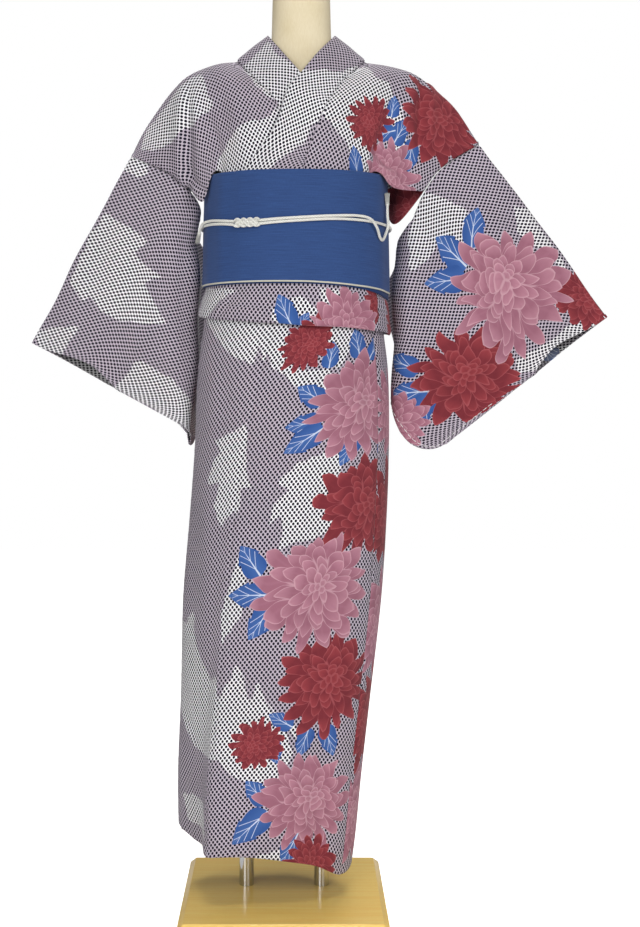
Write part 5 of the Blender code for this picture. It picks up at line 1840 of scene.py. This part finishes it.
SLEEVE_CREASES = table(
    Crease,
    (((-142, 1060), (-150, 960), (-146, 850), (-140, 760)), 12, 5.4, -0.5),
    (((-190, 1090), (-215, 990), (-225, 890)), 22, 5.8, -0.6),
    (((-245, 1050), (-280, 960), (-295, 880)), 18, 4.7, 0.6),
    (((-170, 1000), (-190, 900), (-185, 800)), 16, 4.3, 0.5),
    (((215, 1060), (210, 960), (200, 860), (196, 760)), 14, 5.4, 0.5),
    (((255, 1090), (290, 1000), (310, 900)), 20, 5.4, 0.6),
    (((320, 1060), (365, 980), (390, 910)), 18, 4.7, -0.6),
    (((240, 980), (260, 880), (255, 780)), 16, 4, -0.5),
    (((153, 1067), (178, 1040), (204, 1020)), 8, 6.3, 0.8),
    (((-190, 1080), (-220, 970), (-215, 850)), 20, 5.4, 0.5, View.BACK),
    (((-250, 1030), (-285, 940), (-290, 870)), 16, 4.3, -0.6, View.BACK),
    (((260, 1070), (300, 970), (300, 850)), 20, 5.4, -0.5, View.BACK),
    (((330, 1030), (375, 950), (390, 880)), 16, 4.3, 0.6, View.BACK),
)
SKIRT_CREASES = table(
    Crease,
    (((-100, 860), (-85, 780), (-90, 690)), 10, 2, 0.5),
    (((-128, 640), (-132, 520), (-138, 400)), 12, 2.4, 0.5),
    (((-148, 300), (-132, 262), (-118, 245)), 6, 2, 0.7),
    (((118, 850), (124, 760), (120, 640)), 10, 2, -0.5), (((20, 850), (10, 740), (12, 620)), 16, 1.7, 0.5),
    (((60, 500), (50, 360), (40, 200)), 18, 2, -0.5), (((-20, 560), (-15, 400), (-20, 260)), 16, 1.9, 0.5),
    (((-60, 860), (-50, 700), (-55, 540)), 14, 2.4, 0.5, View.BACK),
    (((90, 860), (80, 700), (70, 560)), 14, 2.4, -0.5, View.BACK),
    (((10, 700), (0, 500), (-20, 300)), 18, 2, 0.5, View.BACK),
    (((20, 840), (10, 700), (20, 560)), 12, 2, 0.5, View.LEFT),
    (((10, 840), (20, 700), (10, 540)), 12, 2, -0.5, View.RIGHT),
)
TUCK_CREASES = table(
    Crease,
    (((-110, 905), (-60, 893), (10, 890)), 4, 1.9, 0.8), (((0, 878), (60, 874), (130, 880)), 4, 1.9, 0.8),
    (((-112, 880), (-98, 896), (-88, 915)), 4, 2.2, 0.7),
    (((-100, 875), (-82, 890), (-70, 912)), 4, 1.9, -0.7),
    (((90, 905), (115, 892), (145, 886)), 4, 2.2, 0.7),
    (((-60, 905), (0, 893), (70, 898)), 5, 2.2, 0.8, View.BACK),
    (((40, 880), (80, 893), (110, 910)), 4, 1.9, 0.7, View.BACK),
)
SASH_CREASES = table(
    Crease,
    (((-95, 1037), (20, 1032), (140, 1038)), 6, 0.4, 0.8),
    (((-17, 1080), (-19, 1000), (-16, 930)), 7, 0.4, 0.7),
)


# ---------------------------------------------------------------- sub-assemblies
@dataclass
class Stand:
    """The wooden base, the two tube poles and the limbless dress form."""

    moulding: float = 0.009
    form_sides: int = 72
    pole_sides: int = 48

    def base(self) -> None:
        """The board: square, with a moulded upper edge and slightly rounded upright corners."""
        shape = bmesh.new()
        bmesh.ops.create_cube(shape, size=1)
        bmesh.ops.scale(shape, vec=(BASE_WIDTH, BASE_WIDTH, BASE_HEIGHT), verts=shape.verts)
        bmesh.ops.translate(shape, vec=(0, 0, BASE_HEIGHT / 2), verts=shape.verts)
        upper = [e for e in shape.edges if min(v.co.z for v in e.verts) > BASE_HEIGHT / 2]
        even = {"profile": 0.5, "affect": "EDGES", "material": -1}
        bmesh.ops.bevel(shape, geom=upper, offset=self.moulding, segments=1, **even)
        corners = [
            e
            for e in shape.edges
            if abs(e.verts[0].co.z - e.verts[1].co.z) > BASE_HEIGHT / 4
            and min(abs(v.co.x) for v in e.verts) > BASE_WIDTH * 0.45
            and min(abs(v.co.y) for v in e.verts) > BASE_WIDTH * 0.45
        ]
        bmesh.ops.bevel(shape, geom=corners, offset=0.0015, segments=2, **even)
        mesh = finish_mesh(shape, "base", VarnishedBoard().finish())
        mesh.set_sharp_from_angle(angle=math.radians(35))
        place_piece("base_board", mesh, "base_wood", "stand_base")

    def poles(self) -> None:
        """The two chromed tubes."""
        chrome = ChromedTube().finish()
        low, high = BASE_HEIGHT + TOUCH, FORM_FOOT - TOUCH
        for name, x in (("pole_left", POLE_SPREAD / 2), ("pole_right", -POLE_SPREAD / 2)):
            shape = bmesh.new()
            bmesh.ops.create_cone(
                shape, segments=self.pole_sides, radius1=POLE_RADIUS, radius2=POLE_RADIUS, depth=high - low,
                cap_ends=True,
            )
            bmesh.ops.translate(shape, vec=(x, POLE_Y, (low + high) / 2), verts=shape.verts)
            mesh = finish_mesh(shape, name, chrome)
            mesh.set_sharp_from_angle(angle=math.radians(40))
            place_piece(f"{name}_tube", mesh, "pole_chrome", name)

    def form(self) -> None:
        """The dress form: rings lofted from its foot to its neck, closed at both ends."""
        rows = 140
        keys = np.array([row.z for row in FORM_RINGS])
        shape = bmesh.new()
        bmesh.ops.create_cone(
            shape, segments=self.form_sides, radius1=1, radius2=1, depth=1, cap_ends=True, cap_tris=False
        )
        upright = [e for e in shape.edges if abs(e.verts[0].co.z - e.verts[1].co.z) > 0.5]
        bmesh.ops.subdivide_edges(shape, edges=upright, cuts=rows - 1, use_grid_fill=True)
        for vert in shape.verts:
            z = float(np.interp(vert.co.z + 0.5, np.linspace(0, 1, len(keys)), keys))
            left, right, front, back = (
                float(np.interp(z, keys, [getattr(row, name) for row in FORM_RINGS]))
                for name in ("left", "right", "front", "back")
            )
            angle = math.atan2(-vert.co.y, vert.co.x)
            c, s = math.cos(angle), math.sin(angle)
            power = 2 / RING_POWER
            x = (left + right) / 2 + (left - right) / 2 * math.copysign(abs(c) ** power, c)
            y = (front + back) / 2 - (back - front) / 2 * math.copysign(abs(s) ** power, s)
            vert.co = (x, y, z)
        place_piece("form_body", finish_mesh(shape, "form", Jersey().finish()), "form_jersey", "dress_form")

    def build(self) -> None:
        """Build the whole stand."""
        self.base()
        self.poles()
        self.form()
        LOG.info("stand built")


STITCH_EVERY = 0.0098  # between the starts of two basting stitches
STITCH_LENGTH = 0.0074
THREAD_RADIUS = 0.00042


@dataclass
class Upper:
    """The body lengths above the sash, the collar band and the two sleeves."""

    cotton: list

    def build(self) -> None:
        """Build each piece."""
        for name, side in (("body_left_upper", 1), ("body_right_upper", -1)):
            Cloth(
                name, body_panel(side), 92, 152, Cut((0.31, 0.48), "hung", ("form_body",), area=0.105),
                grain=Grain(reference=0.35, relaxed=True), outward=side, turned=(Edge.OUTER,),
                puckers=(Edge.OUTER,), creases=BODY_CREASES, wave=(0.0008, 0.11, 0.35),
                prints=BODY_PRINTS if side > 0 else (), clouds=CHEST_CLOUDS, seed=3 if side > 0 else 4,
            ).build(self.cotton)
        Cloth(
            "collar", collar_point, 330, 24,
            Cut((0.085, 0.81), "folded", ("form_body", "body_left_upper_cloth"), area=0.056),
            grain=Grain(warp_along_u=True), outward=-1, turned=(Edge.UPPER, Edge.LOWER),
            puckers=(Edge.LOWER,), wave=(0.0003, 0.05, 0.12), wall=0.0012, turn_depth=0.0014,
            clouds=CHEST_CLOUDS, seed=5,
        ).build(self.cotton)
        for name, sleeve in (("left", LEFT_SLEEVE), ("right", RIGHT_SLEEVE)):

            def surface(u: Array, v: Array, sleeve: Sleeve = sleeve) -> Array:
                """Points of this sleeve: u around its tube, v from the body to the cuff."""
                return sleeve_point(sleeve, v, (2 * u - 1) * math.pi * sleeve.side)

            cloth = Cloth(
                f"sleeve_{name}", surface, 172, 92, Cut((0.33, 0.7), "hung", (f"body_{name}_upper_cloth",)),
                grain=Grain(warp_along_u=True), reverse=True, ring=True, turned=(Edge.LOWER,),
                puckers=(Edge.UPPER,), creases=SLEEVE_CREASES, wave=(0.001, 0.13, 0.3),
                prints=SLEEVE_PRINTS if sleeve.side > 0 else (), clouds=SLEEVE_CLOUDS,
                seed=7 if sleeve.side > 0 else 8,
            )
            cloth.build(self.cotton)
            if sleeve.side > 0:
                self.basting(cloth)

    def basting(self, sleeve: Cloth) -> None:
        """White running stitches round a sleeve's lower corner, just inside its edge.

        Args:
            sleeve: the shaped sleeve they lie on.
        """
        thread, _, shader = material("white cotton basting thread")
        dress(shader, Base_Color="#FBFBF8", Roughness=0.85)
        column, row = int(sleeve.columns * 0.955), int(sleeve.rows * 0.912)
        upper = int(sleeve.columns * 0.785)
        rows = np.concatenate([np.arange(int(sleeve.rows * 0.4), row), np.full(column - upper, row)])
        down = np.full(len(rows) - (column - upper), column)
        columns = np.concatenate([down, np.arange(column, upper, -1)])
        line = sleeve.points[rows, columns]
        out = sleeve.normals[rows, columns]
        run = run_along(line)
        stitches = []
        for start in np.arange(0.002, run[-1] - 0.01, STITCH_EVERY):
            at = np.linspace(start, start + STITCH_LENGTH, 5)
            arch_up = np.array((0.0001, 0.0008, 0.0009, 0.0008, 0.0001))[:, None]
            path, away = (
                np.stack([np.interp(at, run, column) for column in part.T], axis=1) for part in (line, out)
            )
            stitches.append(along_path(path + away * arch_up, THREAD_RADIUS, 6))
        place_piece("sleeve_left_basting", finish_mesh(join(stitches), "basting", thread), "cord_braid")


@dataclass
class Skirt:
    """The wrapped skirt panels and the waist tuck over their top."""

    cotton: list

    def build(self) -> None:
        """Build each piece."""
        apart = math.degrees(SEAM / 0.12) / 2

        def okumi_seam(z: Array) -> Array:
            """Angle of the front okumi seam."""
            return read(OKUMI_SEAM, z, "angle")

        def okumi_edge(z: Array) -> Array:
            """Angle of the okumi's edge, behind the front panel's where that stands forward."""
            return okumi_seam(z) + apart + read(OKUMI_SEAM, z, "flare") * OKUMI_TUCK_IN

        def at(angle: float) -> Callable:
            """A line that keeps one angle."""
            return lambda z: angle + 0 * z

        inner = WRAP_START + OKUMI_TURN
        right, back, left = RIGHT_SIDE_SEAM, BACK_SEAM, LEFT_SIDE_SEAM
        panels = (
            (
                "okumi_right", at(WRAP_START), at(inner - apart), (28, 140), Grain(False, 0.0, -2.0),
                (0.15, 0.8),
            ),
            ("front_right", at(inner + apart), at(right - apart), (50, 150), Grain(False, 1.0), (0.26, 0.82)),
            ("back_right", at(right + apart), at(back - apart), (72, 190), Grain(False, 1.0), (0.3, 0.85)),
            ("back_left", at(back + apart), at(left - apart), (72, 190), Grain(False, 0.0), (0.3, 0.86)),
            (
                "front_left", at(left + apart), lambda z: okumi_seam(z) - apart, (76, 240),
                Grain(False, 1.0, -7.0), (0.25, 0.86),
            ),
            (
                "okumi_left", okumi_edge, lambda z: okumi_seam(z) + OKUMI_TURN, (50, 240),
                Grain(False, 0.0, -13.0), (0.16, 0.84),
            ),
        )
        for seed, (name, start, end, cells, grain, flat) in enumerate(panels, start=11):
            behind = name.startswith("back")
            Cloth(
                f"{name}_skirt", skirt_panel(start, end), *cells, Cut(flat, "hung", ("form_body",)),
                grain=grain, turned=(Edge.INNER, Edge.OUTER, Edge.LOWER), puckers=(Edge.INNER, Edge.OUTER),
                creases=SKIRT_CREASES, wave=(0.0004, 0.1, 0.4),
                prints=tuple(item for item in SKIRT_PRINTS if (item.view is not View.FRONT) == behind),
                clouds=SKIRT_CLOUDS, seed=seed,
            ).build(self.cotton)
        tucks = (
            ("front", 31.0, 188.0, 104, 0.37, 21),
            ("back", 188.0 + 2 * apart, 391.0 - 2 * apart, 110, 0.46, 22),
        )
        for name, start, end, columns, width, seed in tucks:
            Cloth(
                f"tuck_{name}", tuck_panel(start, end), columns, 56,
                Cut((width, 0.12), "folded", (f"{name}_left_skirt_cloth",)),
                turned=(Edge.INNER, Edge.OUTER), creases=TUCK_CREASES, wave=(0.0004, 0.08, 0.2),
                prints=TUCK_PRINTS, clouds=TUCK_CLOUDS, seed=seed,
            ).build(self.cotton)


@dataclass
class Sash:
    """The sash's two turns and the flat folded tie at its back."""

    weave: SashWeave = SashWeave()
    edge: float = 0.0017  # of the cream reverse that shows along the lower edge

    def build(self) -> None:
        """Build each piece."""
        width = SASH_TOP - 0.926
        blue = self.weave.finish("blue slub weave", width - self.edge)
        # the under turn is the same weave; its darker blue, where it shows below the outer turn, is painted
        # shade
        under = SashWeave(blue="#1C3A6E", deep="#142C58").finish("blue slub weave, under turn", None)
        plain = self.weave.finish("blue slub weave, tie", None)
        turns = (
            ("sash_inner_wrap", SASH_OUT, True, under, ("body_left_upper_cloth",)),
            ("sash_outer_wrap", SASH_OUT + SASH_STEP, False, blue, ("sash_inner_wrap_cloth",)),
        )
        for name, out, inner, finish, rests_on in turns:
            Cloth(
                name, sash_wrap(out, inner), 230, 52, Cut((0.17, 0.79), "folded", rests_on), "sash_weave",
                turned=(Edge.UPPER, Edge.LOWER), creases=SASH_CREASES, wave=(0.00045, 0.045, 0.3),
                wall=0.001, turn_depth=0.0007, seed=31,
            ).build([finish])
        Cloth(
            "sash_tie", tie_point, 140, 44, Cut((0.17, 0.54), "folded", ("sash_outer_wrap_cloth",)),
            "sash_weave", grain=Grain(warp_along_u=True), outward=-1, ring=True,
            turned=(Edge.UPPER, Edge.LOWER), wave=(0.0004, 0.06, 0.12), wall=0.001, turn_depth=0.0007,
            seed=32,
        ).build([plain])


@dataclass
class Cord:
    """The braided cord round the sash: its loop, its flat square knot, two ends and tassels."""

    sides: int = 16
    relief: float = 0.1
    strands: int = 44
    knot_shift: float = 2.5  # millimetres

    def local(self, stops: Sequence[tuple], lift: float) -> Array:
        """Points of the knot from places along, up and out of it, in millimetres."""
        outside = SASH_OUT + SASH_STEP + WALL / 2 + CORD_TOUCH + CORD_DIAMETER / 2
        centre = girdle(np.array(KNOT_ANGLE), np.array(KNOT_Z), outside + lift)
        before = girdle(np.array(KNOT_ANGLE + 1), np.array(KNOT_Z), outside + lift)
        after = girdle(np.array(KNOT_ANGLE - 1), np.array(KNOT_Z), outside + lift)
        along = unit(after - before)
        outward = np.array((along[1], -along[0], 0.0))
        route = through([tuple(v / 1000 for v in stop) for stop in stops], np.linspace(0, 1, 150))
        return centre + along * route[:, :1] + np.array((0, 0, 1.0)) * route[:, 1:2] + outward * route[:, 2:]

    def knot(self, braid: Material) -> None:
        """The flat knot: two doubled strands that pass three times over and under each other."""
        along = np.linspace(-18.0, 18.0, 49)
        tubes = []
        for way in (1, -1):
            up = 1.35 + way * 3.1 * np.cos(math.pi * (along + 15) / 10)
            out = 2.1 + way * 1.9 * np.cos(math.pi * (along + 10) / 10)
            slope = np.gradient(up, along)
            stretch = np.hypot(slope, 1.0)
            for beside in (-1.95, 1.95):
                stops = (along - beside * slope / stretch + self.knot_shift, up + beside / stretch, out)
                route = self.local(np.stack(stops, axis=-1).tolist(), 0.0)
                tubes.append(along_path(route, CORD_DIAMETER / 2, self.sides, self.relief))
        place_piece("flat_knot", finish_mesh(join(tubes), "flat_knot", braid), "cord_braid", "cord_knot")

    def tassel(self, name: str, top: Array, way: Array, braid: Material) -> bpy.types.Object:
        """A tassel: a bound head over a bundle of fine strands that spread a little."""
        across = unit(np.cross(way, (0.0, 1.0, 0.2)))
        beside = np.cross(way, across)
        head = TASSEL_LENGTH * 0.24
        depths = np.array((0.0, 0.15, 0.5, 0.8, 1.0))
        sizes = np.array((0.55, 0.8, 0.86, 0.78, 0.92)) * TASSEL_RADIUS * 0.9
        parts = [along_path(top + np.outer(depths * head, way), sizes, 20)]
        for turn in range(3):
            angles = np.linspace(0, 2 * math.pi, 22)
            ring = np.outer(np.cos(angles), across) + np.outer(np.sin(angles), beside)
            middle = top + way * head * (0.62 + 0.14 * turn)
            parts.append(along_path(middle + ring * TASSEL_RADIUS * 0.78, 0.00045, 5))
        chance = np.random.RandomState(len(name))
        steps = np.linspace(0.0, 1.0, 6)[:, None]
        for strand in range(self.strands):
            turn = strand * 2.39996
            reach = math.sqrt((strand + 0.5) / self.strands)
            out = across * math.cos(turn) + beside * math.sin(turn)
            length = (TASSEL_LENGTH - head) * (0.92 + 0.12 * chance.rand())
            flare = TASSEL_RADIUS * reach * (0.72 + 0.42 * steps + 0.1 * chance.rand() * np.sin(5 * steps))
            path = top + way * (head * 0.9 + length * steps) + out * flare
            parts.append(along_path(path, np.linspace(0.00034, 0.00026, 6), 4))
        return place_piece(f"{name}_strands", finish_mesh(join(parts), name, braid), "cord_braid", name)

    def build(self) -> None:
        """Build the cord, its knot and its two free ends."""
        braid = Braid().finish()
        tube = along_path(cord_route(CORD_LOOP, 620), CORD_DIAMETER / 2, self.sides, self.relief)
        place_piece("cord_round_sash", finish_mesh(tube, "cord_round_sash", braid), "cord_braid", "cord_loop")
        self.knot(braid)
        for side, stops, count in (("left", CORD_LEFT_END, 260), ("right", CORD_RIGHT_END, 80)):
            path = cord_route(stops, count)
            tube = along_path(path, CORD_DIAMETER / 2, self.sides, self.relief)
            name = f"cord_{side}_free"
            made = place_piece(name, finish_mesh(tube, name, braid), "cord_braid", f"cord_end_{side}")
            way = unit(path[-1] - path[-3])
            tassel = self.tassel(f"tassel_{side}", path[-1] + way * TOUCH, way, braid)
            length = float(np.linalg.norm(np.diff(path, axis=0), axis=1).sum())
            LOG.info("cord end %s: %.3f m", side, length)


@dataclass
class Studio:
    """Floor, lamps, surroundings and camera."""

    floor_size: float = 9.0
    ambient: float = 0.17  # light that the white surroundings throw on the robe
    surround: float = 1.0  # how bright they look themselves
    floor_glow: float = 0.95  # light of its own, so that the floor meets them without a line

    def floor(self) -> None:
        """A plain pale floor that runs back out of sight."""
        finish, tree, shader = material("matt white paper")
        place = add(tree, "TexCoord").outputs["Object"]
        shade = ramp(tree, noise(tree, place, 3.0, 2.0), 0.3, 0.7, 0.0, 1.0)
        colour = mix(tree, shade, "#F4F3F1", "#F8F7F6")
        seen = add(tree, "LightPath").outputs["Is Camera Ray"]
        glow = Number(seen) * self.floor_glow
        dress(shader, Base_Color=colour, Roughness=0.9, Emission_Color=colour, Emission_Strength=glow)
        shape = bmesh.new()
        bmesh.ops.create_grid(shape, x_segments=1, y_segments=1, size=self.floor_size / 2)
        bmesh.ops.translate(shape, vec=(0, 0, -0.0005), verts=shape.verts)
        place_object("floor", finish_mesh(shape, "floor", finish))

    def lamp(
        self, name: str, place: tuple, aim: tuple, size: float, power: float, spread: float = 180.0
    ) -> None:
        """A soft square lamp at a place, aimed at a point, its light within a cone of some degrees."""
        light = bpy.data.lights.new(name, "AREA")
        light.size = size
        light.energy = power
        light.spread = math.radians(spread)
        made = bpy.data.objects.new(name, light)
        made.location = place
        made.rotation_euler = (Vector(aim) - Vector(place)).to_track_quat("-Z", "Y").to_euler()
        bpy.context.scene.collection.objects.link(made)

    def build(self) -> None:
        """Set up the studio."""
        self.floor()
        middle = (0.0, 0.0, 0.75)
        self.lamp("key", (1.3, -2.9, 2.1), middle, 1.2, 47.5)
        self.lamp("fill", (-1.5, -2.9, 1.5), middle, 1.6, 33.0)
        self.lamp("top", (-0.2, 0.2, 3.2), middle, 1.2, 12.0)
        self.lamp("low", (0.1, -1.5, 2.7), (0.0, -0.45, 0.0), 1.0, 0.7, 24.0)
        self.lamp("back", (0.6, 1.8, 3.4), middle, 1.2, 34.0)
        world = bpy.data.worlds.new("white studio")
        world.use_nodes = True
        tree = world.node_tree
        seen = add(tree, "LightPath").outputs["Is Camera Ray"]
        strength = ramp(tree, seen, 0.0, 1.0, self.ambient, self.surround)
        dress(tree.nodes["Background"], Color="#FFFFFF", Strength=strength)
        bpy.context.scene.world = world
        bpy.context.scene.view_settings.view_transform = "Standard"
        view = bpy.data.cameras.new("camera")
        view.lens = 55.92
        view.shift_x = 0.0291
        view.shift_y = -0.0901
        made = bpy.data.objects.new("camera", view)
        made.location = (0.0135, -2.154, 0.786)
        made.rotation_euler = (math.radians(90), 0.0, 0.0)
        bpy.context.scene.collection.objects.link(made)
        bpy.context.scene.camera = made


def main() -> None:
    """Load the frame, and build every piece."""
    logging.basicConfig(level=logging.INFO, format="%(name)s: %(message)s")
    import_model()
    Stand().build()
    cotton = CottonPrint().finishes()
    Upper(cotton).build()
    Skirt(cotton).build()
    Sash().build()
    Cord().build()
    Studio().build()


if __name__ == "__main__":
    main()
